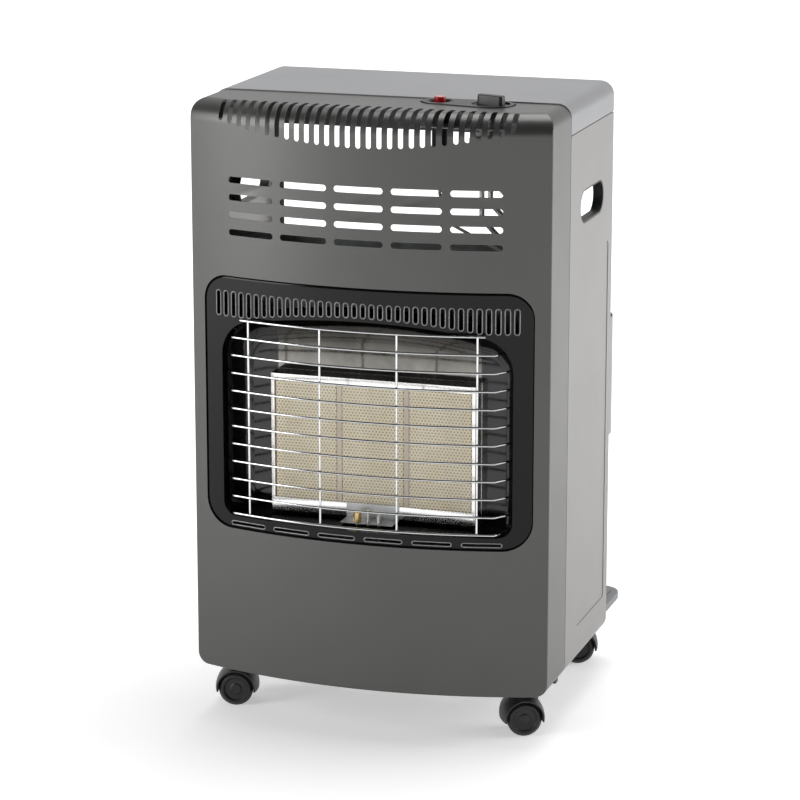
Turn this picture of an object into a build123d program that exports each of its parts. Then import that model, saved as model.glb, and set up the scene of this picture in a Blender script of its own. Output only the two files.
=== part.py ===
"""Portable gas cabinet heater: bowed steel cabinet, ceramic plaque burner behind a wire guard,
gas valve and piezo igniter in the top, cylinder bay open at the back, four twin-wheel castors.

Millimetres. +Z up, +X to the right of someone facing the front, -Y towards that person.
The origin is on the floor, in the middle of the whole heater. Depths are measured backwards
from the apex, the foremost line of the bowed front.
"""
from build123d import *
import math
import os

os.makedirs("parts", exist_ok=True)

# ---------------------------------------------------------------- overall sizes
WIDTH = 420.0
HEIGHT = 724.0
CABINET_BOTTOM = 62.0            # underside of the cabinet above the floor
FRONT_DEPTH = 115.0              # apex to the seam between front panel and rear casing
CASING_DEPTH = 192.0             # seam to the rear edge of the casing
SHELF_REACH = 99.0               # rear edge of the casing to the end of the cylinder shelf
BOW = 38.0                       # how far the middle stands in front of the corners
SHEET = 1.0                      # cabinet sheet
SEAM_GAP = 1.2                   # open joint between neighbouring panels
SEAT_GAP = 0.3                   # between pieces that rest on each other
FIT = 0.06                       # radial running clearance of shafts
FREE = 0.35                      # radial clearance of pieces that only pass
PANEL_STEP = 1.2                 # the front panel's top lies this far below the cover
TOP_EDGE_RADIUS = 16.0           # rounding of the top side edges
BOTTOM_EDGE_RADIUS = 14.0        # rounding of the bottom side edges
TOP_FRONT_RADIUS = 24.0          # rounding over the top front edge
CROWN_OVER = 0.2                 # that rounding runs out this far above the flat top
CORNER_RADIUS = 2.0              # upright front corners
FLANGE = 16.0                    # front panel's inward flange along the bottom
SOLE = 30.0                      # side panels' inward flange along the bottom
REAR_FLANGE = 13.0               # inward flange down the back
FRONT_FLANGE = 12.0              # inward flange behind the seam
CLIP_WIDTH = 7.0                 # clips under the seam
CLIP_LENGTH = 12.0
CLIP_HEIGHT = 7.0
CLIP_CORNER = 1.5
TONGUE = 14.0                    # joggled strip that closes a seam from inside
SKIRT_DROP = 34.7                # how far the cover's side skirts hang down
REAR_DROP = 68.5                 # how far the cover's rear flange hangs down

# ---------------------------------------------------------------- slots in the front panel
VENT_COUNT = 29
VENT_PITCH = 12.06
VENT_WIDTH = 5.8
VENT_DEPTH = 40.0                # upper ends, on the flat top
VENT_DROP_MIDDLE = 39.0          # lower ends below the top, in the middle
VENT_DROP_END = 19.0             # and at the outermost slots
LOUVRE_COLUMNS = 5
LOUVRE_ROWS = 4
LOUVRE_PITCH_X = 65.5
LOUVRE_PITCH_Z = 19.8
LOUVRE_LENGTH = 56.5
LOUVRE_HEIGHT = 7.2
LOUVRE_MIDDLE_Z = 606.7

# ---------------------------------------------------------------- surround and mouth
SURROUND_HALF = 193.0
SURROUND_LOW = 233.5
SURROUND_HIGH = 526.5
SURROUND_TOP_RADIUS = 29.0
SURROUND_LOW_RADIUS = 33.0
SURROUND_GAP = 0.4               # round the surround, inside the panel's lip
SURROUND_RECESS = 1.5            # the surround's face behind the panel's face
SURROUND_SHEET = 1.5
SURROUND_FLANGE = 8.0
SURROUND_ROUNDING = 3.0
LIP_DEPTH = 7.0                  # the panel's lip turned in round the opening
MOUTH_HALF = 171.0
MOUTH_LOW = 248.0
MOUTH_PEAK = 488.5
MOUTH_SHOULDER_X = 137.0         # where the corner curve meets the arch
MOUTH_SHOULDER_Z = 476.0
MOUTH_LOW_RADIUS = 16.0
COLLAR_DEPTH = 43.0              # flat back edge of the mouth's collar
HEAT_SLOT_COUNT = 36
HEAT_SLOT_PITCH = 9.98
HEAT_SLOT_WIDTH = 5.8
HEAT_SLOT_TOP = 509.0
HEAT_SLOT_MARGIN = 4.0           # above the arch
AIR_SLOT_COUNT = 6
AIR_SLOT_PITCH = 55.3
AIR_SLOT_LENGTH = 44.0
AIR_SLOT_HEIGHT = 4.4
AIR_SLOT_Z = 239.6

# ---------------------------------------------------------------- wire guard
WIRE_RADIUS = 1.25
GUARD_BARS = 12
GUARD_LOW_Z = 253.3
GUARD_PITCH = 20.5
GUARD_PROUD = 5.5                # wires in front of the panel's face
GUARD_BEND_X = 154.0
GUARD_BEND_RADIUS = 4.0
GUARD_TOP_HALF = 143.0
GUARD_UPRIGHTS = (-134.0, -45.0, 45.0, 134.0)
GUARD_TIP_DEPTH = 37.0
WELD = 0.3                       # how deep crossing wires are welded into each other

# ---------------------------------------------------------------- burner
REFLECTOR_SHEET = 0.8
REFLECTOR_DEPTH = 74.0           # face of the reflector's back wall
REFLECTOR_RIM = 7.0
REFLECTOR_SECTIONS = ((0.0, 0.0), (0.45, 3.5), (0.8, 10.0), (1.0, 20.0))  # depth share, draw-in
BURNER_HALF = 121.0
BURNER_LOW = 252.0
BURNER_HIGH = 412.0
BURNER_DEPTH = 49.5              # front of the burner's frame
BURNER_SHEET = 1.2
BURNER_FLANGE = 8.0
BURNER_RIM = 3.8                 # how far the frame's front covers the plaques' edges
BURNER_CUT = 0.5                 # round the frame, in the reflector's back wall
BURNER_CORNER = 3.0
PLAQUE_COUNT = 3
PLAQUE_WIDTH = 73.5
PLAQUE_HEIGHT = 150.0
PLAQUE_LOW = 257.0
PLAQUE_THICKNESS = 13.0
PLAQUE_CHAMFER = 1.0
PLAQUE_PITCH = 79.5
RAIL_TOP_HEIGHT = 7.5
RAIL_TOP_HALF = 116.5
RAIL_LOW_HEIGHT = 14.0
RAIL_LOW_HALF = 119.0
RAIL_LOW_MARGIN = 1.0            # the lower rail above the frame's lower edge
PLENUM_BACK_DEPTH = 94.5
PLENUM_WIDTH = 74.0
PLENUM_LOW = 259.0
PLENUM_HIGH = 405.0
PLENUM_SHEET = 1.0
PLENUM_ROUNDING = 8.0
PIPE_DEPTH = 87.0                # plane of the supply pipes and venturis
VENTURI_RADIUS = 8.0
VENTURI_BORE = 5.5
VENTURI_BELL = 9.5
VENTURI_TAPER = 30.0             # degrees
VENTURI_MOUTH_Z = 224.0
INJECTOR_TIP_Z = 219.0
INJECTOR_RADIUS = 3.2
INJECTOR_HEX = 5.5
INJECTOR_HEX_HEIGHT = 6.0
INJECTOR_BRACKET_Z = 204.0       # top of the bracket that carries the injectors
INJECTOR_BRACKET_HALF = 95.0
INJECTOR_BRACKET_SHEET = 1.2
INJECTOR_BRACKET_WIDTH = 20.0
INJECTOR_BRACKET_LEG = 18.0
SHIELD_DEPTH = 99.0              # rear face of the heat shield
SHIELD_SHEET = 0.8
SHIELD_HALF = 192.0
SHIELD_FLANGE_HALF = 205.0
SHIELD_TOP = 566.0
SHIELD_HEM = 6.0
SHIELD_FOOT = 12.0
DEFLECTOR_HALF = 134.0
DEFLECTOR_DEPTH = 25.0           # front edge
DEFLECTOR_LOW = 530.0
DEFLECTOR_HIGH = 548.0

# ---------------------------------------------------------------- gas pipes and leads
PIPE_RADIUS = 3.0
PIPE_BEND = 8.0
PIPE_END_BEND = 4.8              # under each injector
PIPE_NUT_RADIUS = 4.4
PIPE_NUT_HEIGHT = 7.0
PIPE_PORT_X = 116.0              # innermost of the three outlets under the valve
PIPE_PORT_PITCH = 10.0
PIPE_LANE_X = 156.0              # innermost supply pipe's upright run
PIPE_LANE_STEP = 8.0
PIPE_RUN_Z = 190.0               # uppermost level run
PIPE_JOG_Z = 596.0               # where the innermost pipe turns outwards
PIPE_JOG_STEP = 18.0
PILOT_DEPTH = 31.0               # pilot burner, thermocouple and electrode
PILOT_X = -12.0
THERMOCOUPLE_X = 1.0
ELECTRODE_X = 14.0
PILOT_PIPE_RADIUS = 2.0
PILOT_LANE_X = 188.0
PILOT_PORT_Z = 672.0
PILOT_RUN_Z = 152.0
THERMOCOUPLE_RADIUS = 1.5
THERMOCOUPLE_LANE_X = 182.0
THERMOCOUPLE_PORT_Z = 662.0
THERMOCOUPLE_RUN_Z = 160.0
THERMOCOUPLE_TIP_Z = 266.0
LEAD_RADIUS = 1.8
LEAD_DEPTH = 78.5
LEAD_LANE_X = 146.0
LEAD_RUN_Z = 144.0
LEAD_TURNS = (25.0, 55.0, 85.0)  # below the igniter
LEAD_SWAY = 12.0
LEAD_CLEAR = 0.6                 # round what passes through the mouth's collar
PILOT_BRACKET_X = (-30.0, 32.0)
PILOT_BRACKET_Z = 250.3          # underside of its shelf
PILOT_BRACKET_SHEET = 1.0
PILOT_BRACKET_FRONT = 24.0
PILOT_BRACKET_HIGH = 268.0
PILOT_BURNER_RADIUS = 4.5
PILOT_BURNER_TOP = 262.0
ELECTRODE_RADIUS = 2.5
ELECTRODE_TOP = 260.0
ELECTRODE_WIRE = 0.8
ELECTRODE_WIRE_RISE = 3.0
ELECTRODE_WIRE_REACH = 6.0

# ---------------------------------------------------------------- controls
KNOB_X = 124.4
KNOB_DEPTH = 92.0
KNOB_RADIUS = 20.6
KNOB_HOLE_GAP = 0.8
KNOB_RISE = 10.0                 # grip above the cabinet's top
KNOB_DISC_SINK = 2.0             # the disc's top below the cabinet's top
KNOB_DISC = 5.0
KNOB_BAR_LENGTH = 34.0
KNOB_BAR_WIDTH = 11.0
KNOB_BAR_CORNER = 4.0
KNOB_BAR_TAPER = 3.0             # degrees
KNOB_ROUNDING = 1.5
KNOB_DISC_CHAMFER = 1.2
KNOB_BAR_ANGLE = -18.0
KNOB_BOSS_RADIUS = 8.0
KNOB_BOSS = 7.5
KNOB_TRAVEL = 5.0
KNOB_PAD_RADIUS = 26.0
BUTTON_X = 63.6
BUTTON_DEPTH = 98.1
BUTTON_RADIUS = 6.5
BUTTON_RISE = 5.0
BUTTON_LENGTH = 17.0
BUTTON_ROUNDING = 1.2
BUTTON_TRAVEL = 6.0
BUTTON_PAD_RADIUS = 20.5
PLUNGER_RADIUS = 4.0
PLUNGER_LENGTH = 22.0
CUP_RADIUS = 14.0
CUP_INNER_RADIUS = 12.0
CUP_DEPTH = 7.4
CUP_SINK = 0.6
CUP_FLOOR = 1.5
IGNITER_RADIUS = 9.0
IGNITER_LENGTH = 70.0
BARREL_FLOOR = 4.0
PAD_GAP = 1.5                    # dark gap round the control plate
PAD_SHEET = 1.2
PAD_SKIRT = 8.0
BRACKET_DROP = 26.0              # underside of the valve's shelf below the top
BRACKET_SHEET = 1.2
BRACKET_X = (46.0, 150.0)
BRACKET_WEB_X = (56.0, 132.0)
BRACKET_FRONT = 66.0
VALVE_LOW = 650.0
VALVE_HIGH = 690.0
VALVE_HALF_X = 21.0
VALVE_FRONT = 74.0
VALVE_BACK = 112.0
VALVE_CORNER = 5.0
VALVE_CHAMFER = 3.0
VALVE_NECK_RADIUS = 11.0
VALVE_SPIGOT_RADIUS = 7.0
VALVE_SPIGOT_TOP = 703.0
ROTOR_RADIUS = 9.0
ROTOR_LOW = 655.0
ROTOR_HIGH = 675.0
SPINDLE_RADIUS = 4.0
SPINDLE_SINK = 8.0               # how deep the spindle sits in the rotor
SPRING_WIRE = 0.8
KNOB_SPRING_RADIUS = 10.5
SPRING_TURNS = 4
NOZZLE_X = 131.0
NOZZLE_DEPTH = 106.5             # of its boss under the valve
NOZZLE_TIP_DEPTH = 158.0         # it points straight back
NOZZLE_Z = 645.5
NOZZLE_RADIUS = 4.0
NOZZLE_TIP_LENGTH = 8.0          # plain, before the first barb
NOZZLE_CORE_RADIUS = 3.7
NOZZLE_BORE = 2.5
NOZZLE_BOSS_RADIUS = 5.0
NOZZLE_BOSS_LOW = 640.5
NOZZLE_BARBS = 3
BARB_PITCH = 8.0
BARB_LENGTH = 6.0
BARB_RADIUS = 4.2                # at its thin end
BARB_TAPER = 8.0                 # degrees
NUT_DEPTH = 113.0
NUT_RADIUS = 5.5
NUT_LENGTH = 6.0

# ---------------------------------------------------------------- base and castors
SHELF_TOP = 85.0
SHELF_SHEET = 1.2
SHELF_LIP = 9.0
SHELF_HALF = 205.0
SHELF_CORNER = 22.0
SHELF_ROUNDING = 2.0
TRAY_HALF = 207.2
TRAY_FRONT = 53.0
TRAY_SHOULDER = 4.0              # the tray narrows this far before the casing's rear edge
RUNNER_X = 188.0                 # ribs that carry the shelf on the side panels' soles
RUNNER_WIDTH = 8.0
RUNNER_INSET = 5.0               # from both ends of the side panels
BEAD_INSET = 9.0
BEAD_WIDTH = 6.0
BEAD_HEIGHT = 1.6
BEAD_FRONT = 119.0
SHELF_SLOT_LENGTH = 50.0
SHELF_SLOT_WIDTH = 8.0
SHELF_SLOT_PITCH = (90.0, 56.0)
WHEEL_RADIUS = 20.0
WHEEL_WIDTH = 17.5
WHEEL_EDGE = 1.6
WEB_HALF = 3.0                   # half the web between a castor's two wheels
WHEEL_CLEARANCE = 0.5
HUB_RADIUS = 7.0
HUB_DISH = 2.0
HOOD_HALF = 21.5
HOOD_RIM_RADIUS = 22.6
HOOD_CROWN_RADIUS = 25.4
HOOD_CAVITY = 1.0                # round each wheel
HOOD_SKIRT_Z = 16.5
HOOD_BOSS_TOP = 50.0
HOOD_BOSS_RADIUS = 10.0
CASTOR_TRAIL = 9.0
AXLE_RADIUS = 3.0
AXLE_HALF = 16.5
STEM_RADIUS = 5.5
STEM_LOW = 44.0
STEM_TOP = 80.0
SOCKET_RADIUS = 9.0
SOCKET_LOW = 51.0
SOCKET_PLATE = 42.0
CASTORS = {                      # name: swivel x, depth, and the wheels' axis turned from +Y
    "front_left": (-174.0, 96.0, 13.6),
    "front_right": (174.0, 96.0, 26.0),
    "rear_left": (-168.0, 369.0, -32.0),
    "rear_right": (168.0, 369.0, 18.0),
}

# ---------------------------------------------------------------- handles, rear guard, screws
HANDLE_DEPTH = 212.0             # centre of the handle behind the apex
HANDLE_Z = 599.0
HANDLE_LENGTH = 104.0
HANDLE_HEIGHT = 39.0
HANDLE_WALL = 2.0
HANDLE_SINK = 12.0
HANDLE_RIM = 4.0
EMBOSS_DEPTH = 227.0
EMBOSS_LOW = 107.0
EMBOSS_HIGH = 540.0
EMBOSS_HALF = 63.0
EMBOSS_STEP = 0.6
EMBOSS_CORNER = 6.0
REAR_GUARD_LOW = 300.0
REAR_GUARD_HIGH = 442.0
REAR_GUARD_SHEET = 1.2
REAR_GUARD_HALF = 208.0
REAR_GUARD_STRAIGHT = 13.0       # straight sides behind the casing's rear edge
REAR_GUARD_CORNER_X = 174.0
REAR_GUARD_CORNER = 62.2
REAR_GUARD_INSET = 5.0           # its apex in front of the shelf's end
HOOK_HEIGHT = 6.0
HOOK_LIFT = 14.0
HOOK_THICKNESS = 3.0
HOOK_REACH = 3.0                 # past the flange it hangs on
HOOK_LEAF = 2.0
HOOK_PLAY = 1.0                  # round each hook in its slot
HOOK_X = 202.5
HOOK_Z = (330.0, 404.0)
SCREW_HEAD_RADIUS = 3.5
SCREW_HEAD = 2.0
SCREW_RADIUS = 1.7
SCREW_LENGTH = 8.0
COVER_SCREW_X = 188.0
COVER_SCREW_Z = (662.0, 682.0)
SHIELD_SCREW_X = 201.0
SHIELD_SCREW_Z = (120.0, 330.0, 540.0)

# ---------------------------------------------------------------- places worked out from the sizes
HALF_WIDTH = WIDTH / 2
TOTAL_DEPTH = GUARD_PROUD + WIRE_RADIUS + FRONT_DEPTH + CASING_DEPTH + SHELF_REACH
APEX_Y = -TOTAL_DEPTH / 2 + GUARD_PROUD + WIRE_RADIUS
SEAM_Y = APEX_Y + FRONT_DEPTH
REAR_Y = SEAM_Y + CASING_DEPTH
SHELF_REAR_Y = REAR_Y + SHELF_REACH
PANEL_TOP = HEIGHT - PANEL_STEP
PANEL_REAR_Y = SEAM_Y - SEAM_GAP / 2
CASING_FRONT_Y = SEAM_Y + SEAM_GAP / 2
BOW_RADIUS = (HALF_WIDTH ** 2 + BOW ** 2) / (2 * BOW)
BOW_CENTRE_Y = APEX_Y + BOW_RADIUS
BOW_AXIS = Axis((0, BOW_CENTRE_Y, 0), (0, 0, 1))
AHEAD_Y = APEX_Y - 30.0          # clear of everything in front of the heater
SKIRT_LOW = HEIGHT - SKIRT_DROP
COVER_LOW = HEIGHT - REAR_DROP
VENT_SPAN = VENT_PITCH * (VENT_COUNT - 1) / 2
KNOB_Y = APEX_Y + KNOB_DEPTH
BUTTON_Y = APEX_Y + BUTTON_DEPTH
PIPE_Y = APEX_Y + PIPE_DEPTH
PILOT_Y = APEX_Y + PILOT_DEPTH
LEAD_Y = APEX_Y + LEAD_DEPTH
SHIELD_Y = APEX_Y + SHIELD_DEPTH
COLLAR_BACK_Y = APEX_Y + COLLAR_DEPTH
PLAQUE_HIGH = PLAQUE_LOW + PLAQUE_HEIGHT
PLAQUE_Y = APEX_Y + BURNER_DEPTH + BURNER_SHEET + SEAT_GAP
PLAQUE_BACK_Y = PLAQUE_Y + PLAQUE_THICKNESS


def write(piece, name):
    """Label a finished sub-part and write it as one STEP file."""
    piece.label = name
    export_step(piece, f"parts/{name}.step")


def at_y(y):
    """Upright plane seen from the front: local x is +X, local y is +Z."""
    return Plane.XZ.offset(-y)


def bow_y(x, depth=0.0):
    """Y of the bowed front at x, a depth behind its face."""
    return BOW_CENTRE_Y - math.sqrt((BOW_RADIUS - depth) ** 2 - x ** 2)


def arch_z(x):
    """Height of the mouth's arch at x."""
    rise = MOUTH_PEAK - MOUTH_SHOULDER_Z
    radius = (MOUTH_SHOULDER_X ** 2 + rise ** 2) / (2 * rise)
    return MOUTH_PEAK - radius + math.sqrt(radius ** 2 - x ** 2)


def front_outline(grow=0.0):
    """The surround's outline seen from the front, grown by a margin."""
    with BuildSketch(at_y(AHEAD_Y), mode=Mode.PRIVATE) as outline:
        with Locations((0, (SURROUND_LOW + SURROUND_HIGH) / 2)):
            Rectangle(2 * (SURROUND_HALF + grow), SURROUND_HIGH - SURROUND_LOW + 2 * grow)
        fillet(outline.vertices().group_by(Axis.Y)[0], SURROUND_LOW_RADIUS + grow)
        fillet(outline.vertices().group_by(Axis.Y)[-1], SURROUND_TOP_RADIUS + grow)
    return outline.sketch


def mouth_spring(half, shoulder_x, shoulder_z):
    """Height where the mouth's upright side turns into its rounded shoulder."""
    slope = 2 * math.atan((MOUTH_PEAK - MOUTH_SHOULDER_Z) / MOUTH_SHOULDER_X)
    return shoulder_z - (half - shoulder_x) * math.tan((math.pi / 2 + slope) / 2)


def mouth_half_at(z):
    """Half the mouth's width at a height."""
    dip = MOUTH_LOW + MOUTH_LOW_RADIUS - z
    if dip > 0:
        return MOUTH_HALF - MOUTH_LOW_RADIUS + math.sqrt(MOUTH_LOW_RADIUS ** 2 - dip ** 2)
    spring = mouth_spring(MOUTH_HALF, MOUTH_SHOULDER_X, MOUTH_SHOULDER_Z)
    if z <= spring:
        return MOUTH_HALF
    run = MOUTH_HALF - MOUTH_SHOULDER_X
    radius = (run ** 2 + (MOUTH_SHOULDER_Z - spring) ** 2) / (2 * run)
    return MOUTH_HALF - radius + math.sqrt(radius ** 2 - (z - spring) ** 2)


def mouth_outline(plane, grow=0.0):
    """The burner mouth seen from the front: square sides, rounded shoulders and a low arch."""
    half = MOUTH_HALF + grow
    low = MOUTH_LOW - grow
    shoulder = (MOUTH_SHOULDER_X + 0.4 * grow, MOUTH_SHOULDER_Z + 0.9 * grow)
    spring = mouth_spring(half, *shoulder)
    radius = MOUTH_LOW_RADIUS + 0.6 * grow
    with BuildSketch(plane, mode=Mode.PRIVATE) as outline:
        with BuildLine():
            floor = Line((-half + radius, low), (half - radius, low))
            right_low = TangentArc(floor @ 1, (half, low + radius), tangent=(1, 0))
            right = Line(right_low @ 1, (half, spring))
            right_top = TangentArc(right @ 1, shoulder, tangent=(0, 1))
            arch = ThreePointArc(right_top @ 1, (0, MOUTH_PEAK + grow), (-shoulder[0], shoulder[1]))
            left_top = TangentArc((-half, spring), arch @ 1, tangent=(0, 1))
            left = Line(left_top @ 0, (-half, low + radius))
            TangentArc(left @ 1, floor @ 0, tangent=(0, -1))
        make_face()
    return outline.sketch


def bowed_plate(outline, near, far):
    """An outline seen from the front, as a plate that follows the bow between two depths."""
    with BuildPart(mode=Mode.PRIVATE) as plate:
        with BuildSketch(Plane.XY.offset(CABINET_BOTTOM)):
            with BuildLine():
                face = ThreePointArc(
                    (-HALF_WIDTH, bow_y(HALF_WIDTH, near)),
                    (0, bow_y(0, near)),
                    (HALF_WIDTH, bow_y(HALF_WIDTH, near)),
                )
                back = ThreePointArc(
                    (-HALF_WIDTH, bow_y(HALF_WIDTH, far)),
                    (0, bow_y(0, far)),
                    (HALF_WIDTH, bow_y(HALF_WIDTH, far)),
                )
                Line(face @ 0, back @ 0)
                Line(face @ 1, back @ 1)
            make_face()
        extrude(amount=HEIGHT - CABINET_BOTTOM)
        extrude(outline, amount=WIDTH / 2, dir=(0, 1, 0), mode=Mode.INTERSECT)
    return plate.part


def front_form(inset, rear_y):
    """The front pan's block: a cylinder about the bow's axis, rounded over at the top front
    and cut to the cabinet's rounded outline, every face moved in by the inset."""
    radius = BOW_RADIUS - inset
    top = PANEL_TOP - inset
    crown = top + CROWN_OVER
    bottom = CABINET_BOTTOM + inset
    rounding = TOP_FRONT_RADIUS - inset
    half = HALF_WIDTH - inset
    with BuildPart(mode=Mode.PRIVATE) as form:
        with BuildSketch(Plane(origin=(0, BOW_CENTRE_Y, 0), x_dir=(0, 1, 0), z_dir=(1, 0, 0))):
            with BuildLine():
                edge = Polyline((rounding, crown), (0, crown), (0, bottom), (radius, bottom))
                wall = Line(edge @ 1, (radius, crown - rounding))
                over = TangentArc(wall @ 1, (radius - rounding, crown), tangent=(0, 1))
                Line(over @ 1, edge @ 0)
            make_face()
        revolve(axis=BOW_AXIS, revolution_arc=360)
        with BuildSketch(at_y(AHEAD_Y)) as outline:
            with Locations((0, (top + bottom) / 2)):
                Rectangle(2 * half, top - bottom)
            fillet(outline.vertices().group_by(Axis.Y)[0], BOTTOM_EDGE_RADIUS - inset)
            fillet(outline.vertices().group_by(Axis.Y)[-1], TOP_EDGE_RADIUS - inset)
        extrude(amount=rear_y - AHEAD_Y, dir=(0, 1, 0), mode=Mode.INTERSECT)
    return form.part


def vent_low(x):
    """Lower end of a top vent slot: the ends follow an arc, lowest in the middle."""
    drop = VENT_DROP_MIDDLE - (VENT_DROP_MIDDLE - VENT_DROP_END) * (x / VENT_SPAN) ** 2
    return HEIGHT - drop


def control_outline(grow, rear_y):
    """The raised control area: two discs and what lies between them, cut off at a rear edge."""
    with BuildSketch(Plane.XY, mode=Mode.PRIVATE) as outline:
        with Locations((BUTTON_X, BUTTON_Y)):
            Circle(BUTTON_PAD_RADIUS + grow)
        with Locations((KNOB_X, KNOB_Y)):
            Circle(KNOB_PAD_RADIUS + grow)
        make_hull()
        with Locations((KNOB_X, rear_y + WIDTH / 2)):
            Rectangle(WIDTH, WIDTH, mode=Mode.SUBTRACT)
    return outline.sketch


def pipe(points, bends, radius):
    """A round pipe or lead along straight runs joined by tangent bends, one radius per corner."""
    with BuildPart(mode=Mode.PRIVATE) as run:
        with BuildLine() as route:
            FilletPolyline(*points, radius=bends)
        path = route.wires()[0]
        with BuildSketch(Plane(path @ 0, z_dir=path % 0)):
            Circle(radius)
        sweep(path=path)
    return run.part


def coil(x, y, low, high, radius):
    """A compression spring's wire, its ends at two heights."""
    height = high - low - 2 * SPRING_WIRE
    with BuildPart(mode=Mode.PRIVATE) as spring:
        with BuildLine() as route:
            Helix(pitch=height / SPRING_TURNS, height=height, radius=radius,
                  center=(x, y, low + SPRING_WIRE))
        path = route.wires()[0]
        with BuildSketch(Plane(path @ 0, z_dir=path % 0)):
            Circle(SPRING_WIRE)
        sweep(path=path, is_frenet=True)
    return spring.part


# ================================================================ cabinet
panel_block = front_form(0, PANEL_REAR_Y)
panel_hollow = front_form(SHEET, SEAM_Y + TONGUE)
opening_lip = bowed_plate(front_outline(SURROUND_GAP + SHEET), SHEET / 2, LIP_DEPTH)
with BuildPart() as front_panel:
    add(panel_block)
    fillet(front_panel.edges().filter_by(Axis.Z).sort_by(Axis.Y)[0:2], CORNER_RADIUS)
    add(panel_hollow, mode=Mode.SUBTRACT)
    # bottom wall cut back to a flange
    with BuildSketch(Plane.XY.offset(CABINET_BOTTOM - SHEET)):
        flange_x = HALF_WIDTH - FLANGE
        with BuildLine():
            inner = ThreePointArc(
                (-flange_x, bow_y(flange_x, FLANGE)),
                (0, bow_y(0, FLANGE)),
                (flange_x, bow_y(flange_x, FLANGE)),
            )
            Polyline(inner @ 0, (-flange_x, SEAM_Y), (flange_x, SEAM_Y), inner @ 1)
        make_face()
    extrude(amount=3 * SHEET, mode=Mode.SUBTRACT)
    # opening for the surround, with its turned-in lip
    add(opening_lip)
    extrude(front_outline(SURROUND_GAP), amount=WIDTH / 2, dir=(0, 1, 0), mode=Mode.SUBTRACT)
    # louvres
    with BuildSketch(at_y(AHEAD_Y)):
        with Locations((0, LOUVRE_MIDDLE_Z)):
            with GridLocations(LOUVRE_PITCH_X, LOUVRE_PITCH_Z, LOUVRE_COLUMNS, LOUVRE_ROWS):
                SlotOverall(LOUVRE_LENGTH, LOUVRE_HEIGHT)
    extrude(amount=SEAM_Y - AHEAD_Y, dir=(0, 1, 0), mode=Mode.SUBTRACT)
    # vent slots that wrap over the top front edge
    with BuildSketch(at_y(AHEAD_Y)):
        for index in range(VENT_COUNT):
            vent_x = index * VENT_PITCH - VENT_SPAN
            with Locations((vent_x, vent_low(vent_x))):
                Circle(VENT_WIDTH / 2)
            with Locations((vent_x, (vent_low(vent_x) + HEIGHT) / 2)):
                Rectangle(VENT_WIDTH, HEIGHT - vent_low(vent_x))
    extrude(amount=APEX_Y + VENT_DEPTH - AHEAD_Y, dir=(0, 1, 0), mode=Mode.SUBTRACT)
    # opening for the control plate, with the vents' upper ends
    with BuildSketch(Plane.XY.offset(PANEL_TOP - 2 * SHEET)):
        add(control_outline(PAD_GAP, SEAM_Y))
        with Locations((0, APEX_Y + VENT_DEPTH)):
            with GridLocations(VENT_PITCH, 0, VENT_COUNT, 1):
                Circle(VENT_WIDTH / 2)
    extrude(amount=4 * SHEET, mode=Mode.SUBTRACT)
write(front_panel.part, "front_panel")

with BuildPart() as top_cover:
    with BuildSketch(at_y(CASING_FRONT_Y)) as cover_section:
        with Locations((0, (HEIGHT + SKIRT_LOW) / 2)):
            Rectangle(WIDTH, HEIGHT - SKIRT_LOW)
        fillet(cover_section.vertices().sort_by(Axis.Y)[2:4], TOP_EDGE_RADIUS)
    extrude(amount=REAR_Y - CASING_FRONT_Y, dir=(0, 1, 0))
    with BuildSketch(at_y(CASING_FRONT_Y + SHEET)) as cover_hollow:
        with Locations((0, (HEIGHT + SKIRT_LOW) / 2 - SHEET)):
            Rectangle(WIDTH - 2 * SHEET, HEIGHT - SKIRT_LOW)
        fillet(cover_hollow.vertices().sort_by(Axis.Y)[2:4], TOP_EDGE_RADIUS - SHEET)
    extrude(amount=REAR_Y - CASING_FRONT_Y - 2 * SHEET, dir=(0, 1, 0), mode=Mode.SUBTRACT)
    # the front wall is cut back to a stiffening flange
    with BuildSketch(at_y(CASING_FRONT_Y - SHEET)):
        with Locations((0, (HEIGHT - TONGUE + SKIRT_LOW) / 2 - SHEET)):
            Rectangle(WIDTH - 2 * TOP_EDGE_RADIUS, HEIGHT - TONGUE - SKIRT_LOW + 2 * SHEET)
    extrude(amount=3 * SHEET, dir=(0, 1, 0), mode=Mode.SUBTRACT)
    # rear flange reaches down between the side panels
    rear_flange_half = HALF_WIDTH - SHEET - REAR_FLANGE - SEAT_GAP
    with BuildSketch(at_y(REAR_Y - SHEET)):
        with Locations((0, (SKIRT_LOW + COVER_LOW + SHEET) / 2)):
            Rectangle(2 * rear_flange_half, SKIRT_LOW - COVER_LOW + SHEET)
    extrude(amount=SHEET, dir=(0, 1, 0))
    with BuildSketch(at_y(REAR_Y - 2 * SHEET)):
        for screw_z in COVER_SCREW_Z:
            with Locations((-COVER_SCREW_X, screw_z), (COVER_SCREW_X, screw_z)):
                Circle(SCREW_RADIUS + FREE)
    extrude(amount=3 * SHEET, dir=(0, 1, 0), mode=Mode.SUBTRACT)
    # tongue under the front panel, left of the controls
    tongue_right = BUTTON_X - BUTTON_PAD_RADIUS - 2 * PAD_GAP
    tongue_left = -HALF_WIDTH + TOP_EDGE_RADIUS
    with BuildSketch(Plane.XY.offset(PANEL_TOP - SEAT_GAP - 2 * SHEET)):
        with Locations(((tongue_left + tongue_right) / 2, CASING_FRONT_Y + SHEET - TONGUE / 2)):
            Rectangle(tongue_right - tongue_left, TONGUE)
    extrude(amount=SHEET)
write(top_cover.part, "top_cover")

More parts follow.
